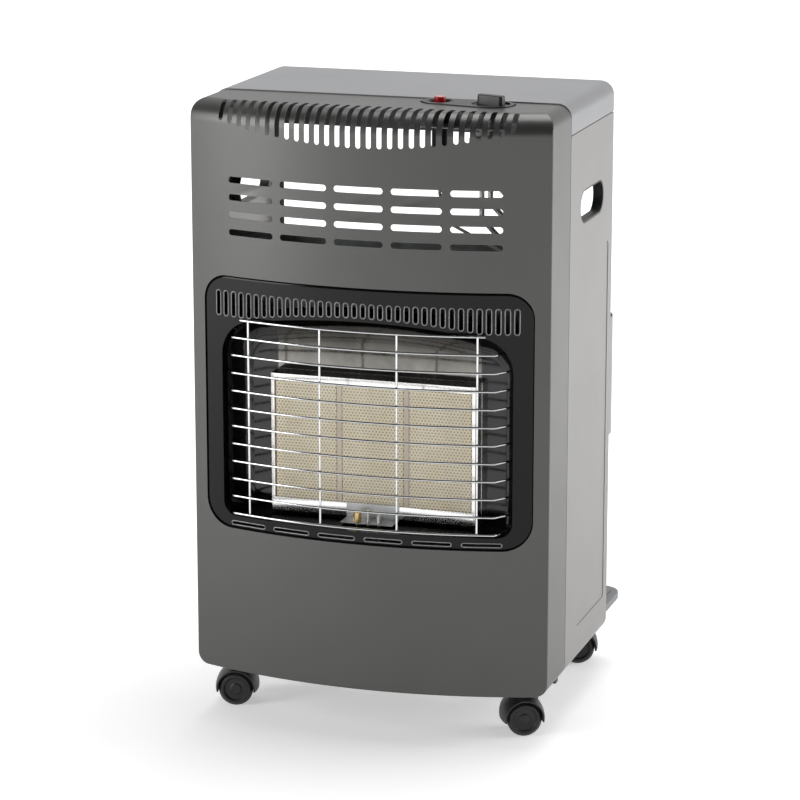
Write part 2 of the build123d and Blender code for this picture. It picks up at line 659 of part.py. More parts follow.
side_top = SKIRT_LOW - SEAM_GAP
side_low = SHELF_TOP + 4 * SHEET
tongue_x = HALF_WIDTH - SHEET - SEAT_GAP
for side, sign in (("left", -1), ("right", 1)):
    with BuildPart() as side_panel:
        with BuildSketch(at_y(CASING_FRONT_Y)):
            with BuildLine():
                sole = Line((HALF_WIDTH - SOLE, CABINET_BOTTOM),
                            (HALF_WIDTH - BOTTOM_EDGE_RADIUS, CABINET_BOTTOM))
                turn = TangentArc(sole @ 1, (HALF_WIDTH, CABINET_BOTTOM + BOTTOM_EDGE_RADIUS), tangent=(1, 0))
                head = Polyline(turn @ 1, (HALF_WIDTH, side_top), (HALF_WIDTH - SHEET, side_top),
                                (HALF_WIDTH - SHEET, CABINET_BOTTOM + BOTTOM_EDGE_RADIUS))
                back_turn = TangentArc((HALF_WIDTH - BOTTOM_EDGE_RADIUS, CABINET_BOTTOM + SHEET),
                                       head @ 1, tangent=(1, 0))
                Polyline(back_turn @ 0, (HALF_WIDTH - SOLE, CABINET_BOTTOM + SHEET), sole @ 0)
            make_face()
        extrude(amount=REAR_Y - CASING_FRONT_Y, dir=(0, 1, 0))
        # flanges behind the seam and down the back, both above the cylinder shelf
        for flange_y, flange in ((CASING_FRONT_Y, FRONT_FLANGE), (REAR_Y - SHEET, REAR_FLANGE)):
            with BuildSketch(at_y(flange_y)):
                with Locations((HALF_WIDTH - SHEET / 2 - flange / 2, (side_low + side_top) / 2)):
                    Rectangle(flange + SHEET, side_top - side_low)
            extrude(amount=SHEET, dir=(0, 1, 0))
        # tongues that close the seams from inside: forward behind the front panel, up behind the skirt
        with BuildSketch(Plane.XY.offset(side_low)):
            with Locations((tongue_x - SHEET / 2, CASING_FRONT_Y + SHEET - TONGUE / 2)):
                Rectangle(SHEET, TONGUE)
        extrude(amount=side_top - side_low)
        with BuildSketch(Plane.XY.offset(side_top - TONGUE)):
            with Locations((tongue_x - SHEET / 2, (CASING_FRONT_Y + REAR_Y) / 2)):
                Rectangle(SHEET, REAR_Y - CASING_FRONT_Y - 6 * SHEET)
        extrude(amount=1.5 * TONGUE)
        with BuildSketch(Plane.XY.offset(side_top - TONGUE)):
            with Locations((tongue_x, (CASING_FRONT_Y + REAR_Y) / 2)):
                Rectangle(2 * SHEET, REAR_Y - CASING_FRONT_Y - 6 * SHEET)
        extrude(amount=SHEET)
        # shallow pressed field: the sheet steps inwards
        field = (APEX_Y + EMBOSS_DEPTH, (EMBOSS_LOW + EMBOSS_HIGH) / 2)
        with BuildSketch(Plane.YZ.offset(HALF_WIDTH - SHEET - EMBOSS_STEP)):
            with Locations(field):
                RectangleRounded(2 * EMBOSS_HALF + SHEET, EMBOSS_HIGH - EMBOSS_LOW + SHEET, EMBOSS_CORNER)
        extrude(amount=SHEET)
        with BuildSketch(Plane.YZ.offset(HALF_WIDTH - EMBOSS_STEP)):
            with Locations(field):
                RectangleRounded(2 * EMBOSS_HALF, EMBOSS_HIGH - EMBOSS_LOW, EMBOSS_CORNER)
        extrude(amount=SHEET, mode=Mode.SUBTRACT)
        # handle opening
        with BuildSketch(Plane.YZ.offset(HALF_WIDTH - 3 * SHEET)):
            with Locations((APEX_Y + HANDLE_DEPTH, HANDLE_Z)):
                SlotOverall(HANDLE_LENGTH, HANDLE_HEIGHT)
        extrude(amount=6 * SHEET, mode=Mode.SUBTRACT)
        # slots for the rear guard's hooks, and holes for the heat shield's screws
        with BuildSketch(at_y(REAR_Y - 2 * SHEET)):
            for hook_z in HOOK_Z:
                with Locations((HOOK_X, hook_z + (HOOK_HEIGHT + HOOK_LIFT) / 2)):
                    Rectangle(HOOK_THICKNESS + 2 * HOOK_PLAY, HOOK_HEIGHT + HOOK_LIFT + 2 * HOOK_PLAY)
        extrude(amount=3 * SHEET, dir=(0, 1, 0), mode=Mode.SUBTRACT)
        with BuildSketch(at_y(CASING_FRONT_Y - SHEET)):
            with Locations(*[(SHIELD_SCREW_X, screw_z) for screw_z in SHIELD_SCREW_Z]):
                Circle(SCREW_RADIUS + FREE)
        extrude(amount=3 * SHEET, dir=(0, 1, 0), mode=Mode.SUBTRACT)
        if sign < 0:
            mirror(about=Plane.YZ, mode=Mode.REPLACE)
    write(side_panel.part, f"side_panel_{side}")

    with BuildPart() as handle_insert:
        handle_place = (APEX_Y + HANDLE_DEPTH, HANDLE_Z)
        with BuildSketch(Plane.YZ.offset(HALF_WIDTH - HANDLE_SINK)):
            with Locations(handle_place):
                SlotOverall(HANDLE_LENGTH - 2 * SEAT_GAP, HANDLE_HEIGHT - 2 * SEAT_GAP)
        extrude(amount=HANDLE_SINK - SEAT_GAP)
        # flange that clips behind the sheet
        with BuildSketch(Plane.YZ.offset(HALF_WIDTH - SHEET - SEAT_GAP - HANDLE_WALL)):
            with Locations(handle_place):
                SlotOverall(HANDLE_LENGTH + 2 * HANDLE_RIM, HANDLE_HEIGHT + 2 * HANDLE_RIM)
        extrude(amount=HANDLE_WALL)
        with BuildSketch(Plane.YZ.offset(HALF_WIDTH - HANDLE_SINK - SHEET)):
            with Locations(handle_place):
                SlotOverall(HANDLE_LENGTH - 2 * HANDLE_WALL, HANDLE_HEIGHT - 2 * HANDLE_WALL)
        extrude(amount=HANDLE_SINK + 2 * SHEET, mode=Mode.SUBTRACT)
        if sign < 0:
            mirror(about=Plane.YZ, mode=Mode.REPLACE)
    write(handle_insert.part, f"handle_insert_{side}")

# ---------------------------------------------------------------- cylinder shelf
runner_low = CABINET_BOTTOM + SHEET + SEAT_GAP
runner_front_y = CASING_FRONT_Y + RUNNER_INSET
runner_back_y = REAR_Y - RUNNER_INSET
shoulder_y = REAR_Y - TRAY_SHOULDER
with BuildPart() as base_tray:
    with BuildSketch(Plane.XY.offset(SHELF_TOP - SHELF_LIP)):
        with BuildLine():
            Polyline(
                (-TRAY_HALF, APEX_Y + TRAY_FRONT), (TRAY_HALF, APEX_Y + TRAY_FRONT),
                (TRAY_HALF, shoulder_y), (SHELF_HALF, shoulder_y), (SHELF_HALF, SHELF_REAR_Y),
                (-SHELF_HALF, SHELF_REAR_Y), (-SHELF_HALF, shoulder_y), (-TRAY_HALF, shoulder_y),
                close=True,
            )
        tray_face = make_face()
        fillet(tray_face.vertices().sort_by(Axis.Y)[-2:], SHELF_CORNER)
    extrude(amount=SHELF_LIP)
    fillet(base_tray.faces().sort_by(Axis.Z)[-1].edges(), SHELF_ROUNDING)
    offset(amount=-SHELF_SHEET, openings=base_tray.faces().sort_by(Axis.Z)[0])
    # ribs that run on the side panels' soles
    with BuildSketch(Plane.XY.offset(runner_low)):
        for sign in (-1, 1):
            with Locations((sign * RUNNER_X, (runner_front_y + runner_back_y) / 2)):
                Rectangle(RUNNER_WIDTH, runner_back_y - runner_front_y)
    extrude(amount=SHELF_TOP - SHELF_SHEET / 2 - runner_low)
    # raised bead round the cylinder's place
    bead_low_y = APEX_Y + BEAD_FRONT
    bead_high_y = SHELF_REAR_Y - BEAD_INSET
    bead_half = SHELF_HALF - BEAD_INSET
    with BuildSketch(Plane.XY.offset(SHELF_TOP - SHELF_SHEET / 2)):
        with Locations((0, (bead_low_y + bead_high_y) / 2)):
            RectangleRounded(2 * bead_half, bead_high_y - bead_low_y, SHELF_CORNER - BEAD_INSET)
            RectangleRounded(2 * (bead_half - BEAD_WIDTH), bead_high_y - bead_low_y - 2 * BEAD_WIDTH,
                             SHELF_CORNER - BEAD_INSET - BEAD_WIDTH, mode=Mode.SUBTRACT)
    extrude(amount=BEAD_HEIGHT + SHELF_SHEET / 2)
    # ventilation slots in the shelf
    with BuildSketch(Plane.XY.offset(SHELF_TOP - 2 * SHELF_SHEET)):
        with Locations((0, (SEAM_Y + SHELF_REAR_Y) / 2)):
            with GridLocations(*SHELF_SLOT_PITCH, 4, 3):
                SlotOverall(SHELF_SLOT_LENGTH, SHELF_SLOT_WIDTH)
    extrude(amount=3 * SHELF_SHEET, mode=Mode.SUBTRACT)
write(base_tray.part, "base_tray")

with BuildPart() as castor_sockets:
    plate_low = SHELF_TOP - SHELF_SHEET - SEAT_GAP - 2 * SHEET
    swivels = [(x, APEX_Y + depth) for x, depth, heading in CASTORS.values()]
    with BuildSketch(Plane.XY.offset(plate_low)):
        with Locations(*swivels):
            Rectangle(SOCKET_PLATE, SOCKET_PLATE)
    extrude(amount=2 * SHEET)
    with BuildSketch(Plane.XY.offset(SOCKET_LOW)):
        with Locations(*swivels):
            Circle(SOCKET_RADIUS)
    extrude(amount=plate_low - SOCKET_LOW)
    with BuildSketch(Plane.XY.offset(SOCKET_LOW)):
        with Locations(*swivels):
            Circle(STEM_RADIUS + FIT)
    extrude(amount=plate_low - SOCKET_LOW, mode=Mode.SUBTRACT)
write(castor_sockets.part, "castor_sockets")

with BuildPart() as panel_clips:
    with BuildSketch(Plane.XY.offset(CABINET_BOTTOM - SEAT_GAP - CLIP_HEIGHT)):
        clip_x = HALF_WIDTH - FLANGE + CLIP_WIDTH / 2
        with Locations((-clip_x, SEAM_Y), (clip_x, SEAM_Y)):
            RectangleRounded(CLIP_WIDTH, CLIP_LENGTH, CLIP_CORNER)
    extrude(amount=CLIP_HEIGHT)
write(panel_clips.part, "panel_clips")

# ---------------------------------------------------------------- rear guard, hooked on the back
guard_seat_y = REAR_Y + SEAT_GAP
with BuildPart() as rear_guard:
    with BuildSketch(Plane.XY.offset(REAR_GUARD_LOW)):
        with BuildLine():
            lip_x = REAR_GUARD_HALF - REAR_FLANGE + 2
            right = Polyline((lip_x, guard_seat_y), (REAR_GUARD_HALF, guard_seat_y),
                             (REAR_GUARD_HALF, REAR_Y + REAR_GUARD_STRAIGHT))
            corner = (REAR_GUARD_CORNER_X, REAR_Y + REAR_GUARD_CORNER)
            turn = TangentArc(right @ 1, corner, tangent=(0, 1))
            back = ThreePointArc(corner, (0, SHELF_REAR_Y - REAR_GUARD_INSET), (-corner[0], corner[1]))
            TangentArc((-REAR_GUARD_HALF, REAR_Y + REAR_GUARD_STRAIGHT), back @ 1, tangent=(0, 1))
            Polyline((-REAR_GUARD_HALF, REAR_Y + REAR_GUARD_STRAIGHT), (-REAR_GUARD_HALF, guard_seat_y),
                     (-lip_x, guard_seat_y))
            offset(amount=REAR_GUARD_SHEET, side=Side.LEFT)
        make_face()
    extrude(amount=REAR_GUARD_HIGH - REAR_GUARD_LOW)
    hooks = [(sign * HOOK_X, hook_z) for sign in (-1, 1) for hook_z in HOOK_Z]
    # each hook passes its slot and turns down behind the flange
    with BuildSketch(at_y(REAR_Y - SHEET - HOOK_REACH)):
        with Locations(*[(x, z + HOOK_HEIGHT / 2) for x, z in hooks]):
            Rectangle(HOOK_THICKNESS, HOOK_HEIGHT)
    extrude(amount=SHEET + HOOK_REACH + SEAT_GAP + REAR_GUARD_SHEET / 2, dir=(0, 1, 0))
    with BuildSketch(at_y(REAR_Y - SHEET - HOOK_REACH)):
        with Locations(*hooks):
            Rectangle(HOOK_THICKNESS, 2 * HOOK_HEIGHT)
    extrude(amount=HOOK_LEAF, dir=(0, 1, 0))
write(rear_guard.part, "rear_guard")

# ---------------------------------------------------------------- screws of the cover and shield
with BuildPart() as case_screws:
    for seat_y, places in (
        (REAR_Y + SEAT_GAP, [(x, z) for x in (-COVER_SCREW_X, COVER_SCREW_X) for z in COVER_SCREW_Z]),
        (CASING_FRONT_Y + SHEET + SEAT_GAP,
         [(x, z) for x in (-SHIELD_SCREW_X, SHIELD_SCREW_X) for z in SHIELD_SCREW_Z]),
    ):
        with BuildSketch(at_y(seat_y)):
            with Locations(*places):
                Circle(SCREW_HEAD_RADIUS)
        extrude(amount=SCREW_HEAD, dir=(0, 1, 0))
        with BuildSketch(at_y(seat_y - SCREW_LENGTH)):
            with Locations(*places):
                Circle(SCREW_RADIUS)
        extrude(amount=SCREW_LENGTH, dir=(0, 1, 0))
write(case_screws.part, "case_screws")

# ================================================================ surround, guard and reflector
mouth = mouth_outline(at_y(AHEAD_Y))
surround_block = bowed_plate(front_outline(), SURROUND_RECESS, SURROUND_RECESS + SURROUND_FLANGE)
surround_hollow = bowed_plate(
    front_outline(-SURROUND_SHEET), SURROUND_RECESS + SURROUND_SHEET, SURROUND_RECESS + 2 * SURROUND_FLANGE
)
collar = bowed_plate(
    mouth_outline(at_y(AHEAD_Y), SURROUND_SHEET), SURROUND_RECESS + SURROUND_SHEET / 2, HALF_WIDTH / 2
)
pilot_holes = (
    (PILOT_X, PILOT_PIPE_RADIUS), (THERMOCOUPLE_X, THERMOCOUPLE_RADIUS), (ELECTRODE_X, LEAD_RADIUS)
)
with BuildPart() as surround:
    add(surround_block)
    fillet(
        surround.faces().filter_by(GeomType.CYLINDER).sort_by(Axis.Y)[0].edges(),
        SURROUND_ROUNDING,
    )
    add(surround_hollow, mode=Mode.SUBTRACT)
    # collar round the mouth, back to one plane
    add(collar)
    with BuildSketch(at_y(COLLAR_BACK_Y)):
        Rectangle(2 * WIDTH, 4 * HEIGHT)
    extrude(amount=WIDTH, dir=(0, 1, 0), mode=Mode.SUBTRACT)
    extrude(mouth, amount=WIDTH, dir=(0, 1, 0), mode=Mode.SUBTRACT)
    # heat slots over the arch, air slots under the mouth
    slot_span = HEAT_SLOT_PITCH * (HEAT_SLOT_COUNT - 1) / 2
    with BuildSketch(at_y(AHEAD_Y)):
        for index in range(HEAT_SLOT_COUNT):
            slot_x = index * HEAT_SLOT_PITCH - slot_span
            slot_low = arch_z(min(abs(slot_x), MOUTH_SHOULDER_X)) + HEAT_SLOT_MARGIN
            with Locations((slot_x, (slot_low + HEAT_SLOT_TOP) / 2)):
                SlotOverall(HEAT_SLOT_TOP - slot_low, HEAT_SLOT_WIDTH, rotation=90)
        with Locations((0, AIR_SLOT_Z)):
            with GridLocations(AIR_SLOT_PITCH, 0, AIR_SLOT_COUNT, 1):
                SlotOverall(AIR_SLOT_LENGTH, AIR_SLOT_HEIGHT)
    extrude(amount=bow_y(slot_span, 2 * SURROUND_SHEET + SURROUND_RECESS) - AHEAD_Y, dir=(0, 1, 0),
            mode=Mode.SUBTRACT)
    # holes in the collar's floor for the pilot's pipe and leads
    with BuildSketch(Plane.XY.offset(MOUTH_LOW - 2 * SURROUND_SHEET)):
        for hole_x, passing in pilot_holes:
            with Locations((hole_x, PILOT_Y)):
                Circle(passing + LEAD_CLEAR)
    extrude(amount=3 * SURROUND_SHEET, mode=Mode.SUBTRACT)
write(surround.part, "surround")

bar_heights = [GUARD_LOW_Z + index * GUARD_PITCH for index in range(GUARD_BARS)]
guard_wires = []
for bar_z in bar_heights:
    top_bar = bar_z == bar_heights[-1]
    bar_half = GUARD_TOP_HALF if top_bar else GUARD_BEND_X
    with BuildPart(mode=Mode.PRIVATE) as wire:
        with BuildLine(Plane.XY.offset(bar_z)) as run:
            bar_end_y = bow_y(bar_half, -GUARD_PROUD)
            ThreePointArc((-bar_half, bar_end_y), (0, bow_y(0, -GUARD_PROUD)), (bar_half, bar_end_y))
            if not top_bar:
                room = min(mouth_half_at(bar_z - WIRE_RADIUS), mouth_half_at(bar_z + WIRE_RADIUS))
                tip_x = room - SEAT_GAP - WIRE_RADIUS
                Line((-tip_x, APEX_Y + GUARD_TIP_DEPTH), (-bar_half, bar_end_y))
                Line((bar_half, bar_end_y), (tip_x, APEX_Y + GUARD_TIP_DEPTH))
                fillet(run.vertices().sort_by(Axis.Y)[0:2], GUARD_BEND_RADIUS)
        path = run.wires()[0]
        with BuildSketch(Plane(path @ 0, z_dir=path % 0)):
            Circle(WIRE_RADIUS)
        sweep(path=path)
    guard_wires.append(wire.part)
with BuildPart() as wire_guard:
    # bars concentric with the bowed front, their ends bent back to the mouth's collar
    add(guard_wires)
    # uprights welded behind the bars
    with BuildSketch(Plane.XY.offset(GUARD_LOW_Z - WIRE_RADIUS)):
        for upright_x in GUARD_UPRIGHTS:
            with Locations((upright_x, bow_y(upright_x, -GUARD_PROUD) + 2 * WIRE_RADIUS - WELD)):
                Circle(WIRE_RADIUS)
    extrude(amount=(GUARD_BARS - 1) * GUARD_PITCH + 2 * WIRE_RADIUS)
write(wire_guard.part, "wire_guard")

reflector_front_y = COLLAR_BACK_Y + SEAT_GAP
reflector_back_y = APEX_Y + REFLECTOR_DEPTH


def dish_sections(grow):
    """Cross-sections of the dish behind the mouth: level floor, other walls drawn in."""
    depth = reflector_back_y + grow - reflector_front_y
    return [
        mouth_outline(
            Plane(origin=(0, reflector_front_y + share * depth, -draw_in), x_dir=(1, 0, 0), z_dir=(0, -1, 0)),
            grow - draw_in,
        )
        for share, draw_in in REFLECTOR_SECTIONS
    ]


rim_outline = mouth_outline(at_y(reflector_front_y), REFLECTOR_RIM)
with BuildPart() as reflector:
    loft(dish_sections(REFLECTOR_SHEET))
    extrude(rim_outline, amount=REFLECTOR_SHEET, dir=(0, 1, 0))
    loft(dish_sections(0), mode=Mode.SUBTRACT)
    with BuildSketch(at_y(reflector_back_y - REFLECTOR_SHEET)):
        with Locations((0, (BURNER_LOW + BURNER_HIGH) / 2)):
            Rectangle(2 * (BURNER_HALF + BURNER_CUT), BURNER_HIGH - BURNER_LOW + 2 * BURNER_CUT)
    extrude(amount=4 * REFLECTOR_SHEET, dir=(0, 1, 0), mode=Mode.SUBTRACT)
write(reflector.part, "reflector")

# ================================================================ burner
burner_middle = (0, (BURNER_LOW + BURNER_HIGH) / 2)
plaque_middle = (0, (PLAQUE_LOW + PLAQUE_HIGH) / 2)
burner_front_y = APEX_Y + BURNER_DEPTH
flange_y = reflector_back_y + REFLECTOR_SHEET + SEAT_GAP
pocket_half = BURNER_HALF - BURNER_SHEET
with BuildPart() as burner_frame:
    with BuildSketch(at_y(burner_front_y)):
        with Locations(burner_middle):
            Rectangle(2 * BURNER_HALF, BURNER_HIGH - BURNER_LOW)
    extrude(amount=flange_y + BURNER_SHEET - burner_front_y, dir=(0, 1, 0))
    with BuildSketch(at_y(flange_y)):
        with Locations(burner_middle):
            Rectangle(2 * (BURNER_HALF + BURNER_FLANGE), BURNER_HIGH - BURNER_LOW + 2 * BURNER_FLANGE)
    extrude(amount=BURNER_SHEET, dir=(0, 1, 0))
    with BuildSketch(at_y(burner_front_y + BURNER_SHEET)):
        with Locations(burner_middle):
            Rectangle(2 * pocket_half, BURNER_HIGH - BURNER_LOW - 2 * BURNER_SHEET)
    extrude(amount=HALF_WIDTH, dir=(0, 1, 0), mode=Mode.SUBTRACT)
    with BuildSketch(at_y(burner_front_y - BURNER_SHEET)):
        with Locations(burner_middle):
            RectangleRounded(2 * (BURNER_HALF - BURNER_RIM), BURNER_HIGH - BURNER_LOW - 3 * BURNER_RIM,
                             BURNER_CORNER)
    extrude(amount=3 * BURNER_SHEET, dir=(0, 1, 0), mode=Mode.SUBTRACT)
write(burner_frame.part, "burner_frame")

rail_y = burner_front_y - SEAT_GAP - BURNER_SHEET
with BuildPart() as plaque_rails:
    with BuildSketch(at_y(rail_y)):
        with Locations((0, BURNER_HIGH - RAIL_TOP_HEIGHT / 2)):
            Rectangle(2 * RAIL_TOP_HALF, RAIL_TOP_HEIGHT)
        with Locations((0, BURNER_LOW + RAIL_LOW_MARGIN + RAIL_LOW_HEIGHT / 2)):
            Rectangle(2 * RAIL_LOW_HALF, RAIL_LOW_HEIGHT)
    extrude(amount=BURNER_SHEET, dir=(0, 1, 0))
write(plaque_rails.part, "plaque_rails")

plaque_places = [(index - (PLAQUE_COUNT - 1) / 2) * PLAQUE_PITCH for index in range(PLAQUE_COUNT)]
for name, plaque_x in zip(("left", "centre", "right"), plaque_places):
    with BuildPart() as plaque:
        with BuildSketch(at_y(PLAQUE_Y)):
            with Locations((plaque_x, plaque_middle[1])):
                Rectangle(PLAQUE_WIDTH, PLAQUE_HEIGHT)
        extrude(amount=PLAQUE_THICKNESS, dir=(0, 1, 0))
        chamfer(plaque.faces().sort_by(Axis.Y)[0].edges(), PLAQUE_CHAMFER)
    write(plaque.part, f"plaque_{name}")

    # mixing chamber open towards its plaque, with the venturi that feeds it
    with BuildPart() as plenum:
        chamber_y = PLAQUE_BACK_Y + SEAT_GAP
        chamber_depth = APEX_Y + PLENUM_BACK_DEPTH - chamber_y
        with BuildSketch(at_y(chamber_y)):
            with Locations((plaque_x, (PLENUM_LOW + PLENUM_HIGH) / 2)):
                Rectangle(PLENUM_WIDTH, PLENUM_HIGH - PLENUM_LOW)
        extrude(amount=chamber_depth, dir=(0, 1, 0))
        fillet(plenum.faces().sort_by(Axis.Y)[-1].edges(), PLENUM_ROUNDING)
        offset(amount=-PLENUM_SHEET, openings=plenum.faces().sort_by(Axis.Y)[0])
        with BuildSketch(Plane.XY.offset(VENTURI_MOUTH_Z)):
            with Locations((plaque_x, PIPE_Y)):
                Circle(VENTURI_RADIUS)
        extrude(amount=PLENUM_LOW + PLENUM_SHEET / 2 - VENTURI_MOUTH_Z)
        with BuildSketch(Plane.XY.offset(VENTURI_MOUTH_Z)):
            with Locations((plaque_x, PIPE_Y)):
                Circle(VENTURI_BELL)
        extrude(amount=2 * (VENTURI_BELL - VENTURI_RADIUS), taper=VENTURI_TAPER)
        with BuildSketch(Plane.XY.offset(VENTURI_MOUTH_Z)):
            with Locations((plaque_x, PIPE_Y)):
                Circle(VENTURI_BORE)
        extrude(amount=PLENUM_LOW + 2 * PLENUM_SHEET - VENTURI_MOUTH_Z, mode=Mode.SUBTRACT)
    write(plenum.part, f"plenum_{name}")

with BuildPart() as plaque_gaskets:
    with BuildSketch(at_y(PLAQUE_Y)):
        with Locations(burner_middle):
            Rectangle(2 * (pocket_half - SEAT_GAP), BURNER_HIGH - BURNER_LOW - 2 * (BURNER_SHEET + SEAT_GAP))
        with Locations(*[(x, plaque_middle[1]) for x in plaque_places]):
            Rectangle(PLAQUE_WIDTH + 2 * SEAT_GAP, PLAQUE_HEIGHT + 2 * SEAT_GAP, mode=Mode.SUBTRACT)
    extrude(amount=PLAQUE_THICKNESS, dir=(0, 1, 0))
write(plaque_gaskets.part, "plaque_gaskets")

# ---------------------------------------------------------------- injectors and their bracket
injector_base_z = INJECTOR_BRACKET_Z + SEAT_GAP
injector_places = [(x, PIPE_Y) for x in plaque_places]
with BuildPart() as injectors:
    with BuildSketch(Plane.XY.offset(injector_base_z)):
        with Locations(*injector_places):
            RegularPolygon(radius=INJECTOR_HEX, side_count=6)
    extrude(amount=INJECTOR_HEX_HEIGHT)
    with BuildSketch(Plane.XY.offset(injector_base_z)):
        with Locations(*injector_places):
            Circle(INJECTOR_RADIUS)
    extrude(amount=INJECTOR_TIP_Z - injector_base_z)
    chamfer(injectors.faces().filter_by(Axis.Z).group_by(Axis.Z)[-1].edges(), INJECTOR_RADIUS / 3)
write(injectors.part, "injectors")

with BuildPart() as injector_bracket:
    bracket_back_y = SHIELD_Y - SHIELD_SHEET - SEAT_GAP
    bracket_underside = INJECTOR_BRACKET_Z - INJECTOR_BRACKET_SHEET
    with BuildSketch(Plane.YZ.offset(-INJECTOR_BRACKET_HALF)):
        with BuildLine():
            Polyline(
                (bracket_back_y, INJECTOR_BRACKET_Z),
                (bracket_back_y, bracket_underside - INJECTOR_BRACKET_LEG),
                (bracket_back_y - INJECTOR_BRACKET_SHEET, bracket_underside - INJECTOR_BRACKET_LEG),
                (bracket_back_y - INJECTOR_BRACKET_SHEET, bracket_underside),
                (bracket_back_y - INJECTOR_BRACKET_WIDTH, bracket_underside),
                (bracket_back_y - INJECTOR_BRACKET_WIDTH, INJECTOR_BRACKET_Z),
                close=True,
            )
        make_face()
    extrude(amount=2 * INJECTOR_BRACKET_HALF)
    with BuildSketch(Plane.XY.offset(bracket_underside - INJECTOR_BRACKET_SHEET)):
        with Locations(*injector_places):
            Circle(PIPE_RADIUS + FREE)
    extrude(amount=3 * INJECTOR_BRACKET_SHEET, mode=Mode.SUBTRACT)
write(injector_bracket.part, "injector_bracket")

# ---------------------------------------------------------------- pipes and leads
supply_runs = []
for index, plaque_x in enumerate(reversed(plaque_places)):
    port_x = PIPE_PORT_X + index * PIPE_PORT_PITCH
    lane_x = PIPE_LANE_X + index * PIPE_LANE_STEP
    jog_z = PIPE_JOG_Z + index * PIPE_JOG_STEP
    run_z = PIPE_RUN_Z - index * PIPE_LANE_STEP
    supply_runs.append(pipe(
        [(port_x, PIPE_Y, VALVE_LOW - SEAT_GAP), (port_x, PIPE_Y, jog_z),
         (lane_x, PIPE_Y, jog_z - (lane_x - port_x)), (lane_x, PIPE_Y, run_z),
         (plaque_x, PIPE_Y, run_z), (plaque_x, PIPE_Y, INJECTOR_BRACKET_Z)],
        [PIPE_BEND] * 3 + [PIPE_END_BEND], PIPE_RADIUS,
    ))
with BuildPart() as supply_pipes:
    add(supply_runs)
    with BuildSketch(Plane.XY.offset(VALVE_LOW - SEAT_GAP - PIPE_NUT_HEIGHT)):
        with Locations(*[(PIPE_PORT_X + index * PIPE_PORT_PITCH, PIPE_Y) for index in range(PLAQUE_COUNT)]):
            Circle(PIPE_NUT_RADIUS)
    extrude(amount=PIPE_NUT_HEIGHT)
write(supply_pipes.part, "supply_pipes")

port_x = KNOB_X + VALVE_HALF_X + SEAT_GAP
pilot_run = pipe(
    [(port_x, PIPE_Y, PILOT_PORT_Z), (PILOT_LANE_X, PIPE_Y, PILOT_PORT_Z),
     (PILOT_LANE_X, PIPE_Y, PILOT_RUN_Z), (PILOT_X, PIPE_Y, PILOT_RUN_Z),
     (PILOT_X, PILOT_Y, PILOT_RUN_Z), (PILOT_X, PILOT_Y, PILOT_BRACKET_Z + PILOT_BRACKET_SHEET)],
    [PIPE_BEND] * 4, PILOT_PIPE_RADIUS,
)
with BuildPart() as pilot_pipe:
    add(pilot_run)
write(pilot_pipe.part, "pilot_pipe")

thermocouple_run = pipe(
    [(port_x, PIPE_Y, THERMOCOUPLE_PORT_Z), (THERMOCOUPLE_LANE_X, PIPE_Y, THERMOCOUPLE_PORT_Z),
     (THERMOCOUPLE_LANE_X, PIPE_Y, THERMOCOUPLE_RUN_Z), (THERMOCOUPLE_X, PIPE_Y, THERMOCOUPLE_RUN_Z),
     (THERMOCOUPLE_X, PILOT_Y, THERMOCOUPLE_RUN_Z), (THERMOCOUPLE_X, PILOT_Y, THERMOCOUPLE_TIP_Z)],
    [PIPE_BEND] * 4, THERMOCOUPLE_RADIUS,
)
with BuildPart() as thermocouple:
    add(thermocouple_run)
write(thermocouple.part, "thermocouple")

lead_top = HEIGHT - CUP_SINK - CUP_DEPTH - CUP_FLOOR - IGNITER_LENGTH
lead_run = pipe(
    [(BUTTON_X, BUTTON_Y, lead_top - SEAT_GAP), (BUTTON_X, BUTTON_Y, lead_top - LEAD_TURNS[0]),
     (BUTTON_X + LEAD_SWAY, (BUTTON_Y + LEAD_Y) / 2, lead_top - LEAD_TURNS[1]),
     (LEAD_LANE_X, LEAD_Y, lead_top - LEAD_TURNS[2]),
     (LEAD_LANE_X, LEAD_Y, LEAD_RUN_Z), (ELECTRODE_X, LEAD_Y, LEAD_RUN_Z),
     (ELECTRODE_X, PILOT_Y, LEAD_RUN_Z), (ELECTRODE_X, PILOT_Y, PILOT_BRACKET_Z - SHEET)],
    [PIPE_BEND] * 6, LEAD_RADIUS,
)
with BuildPart() as ignition_lead:
    add(lead_run)
write(ignition_lead.part, "ignition_lead")

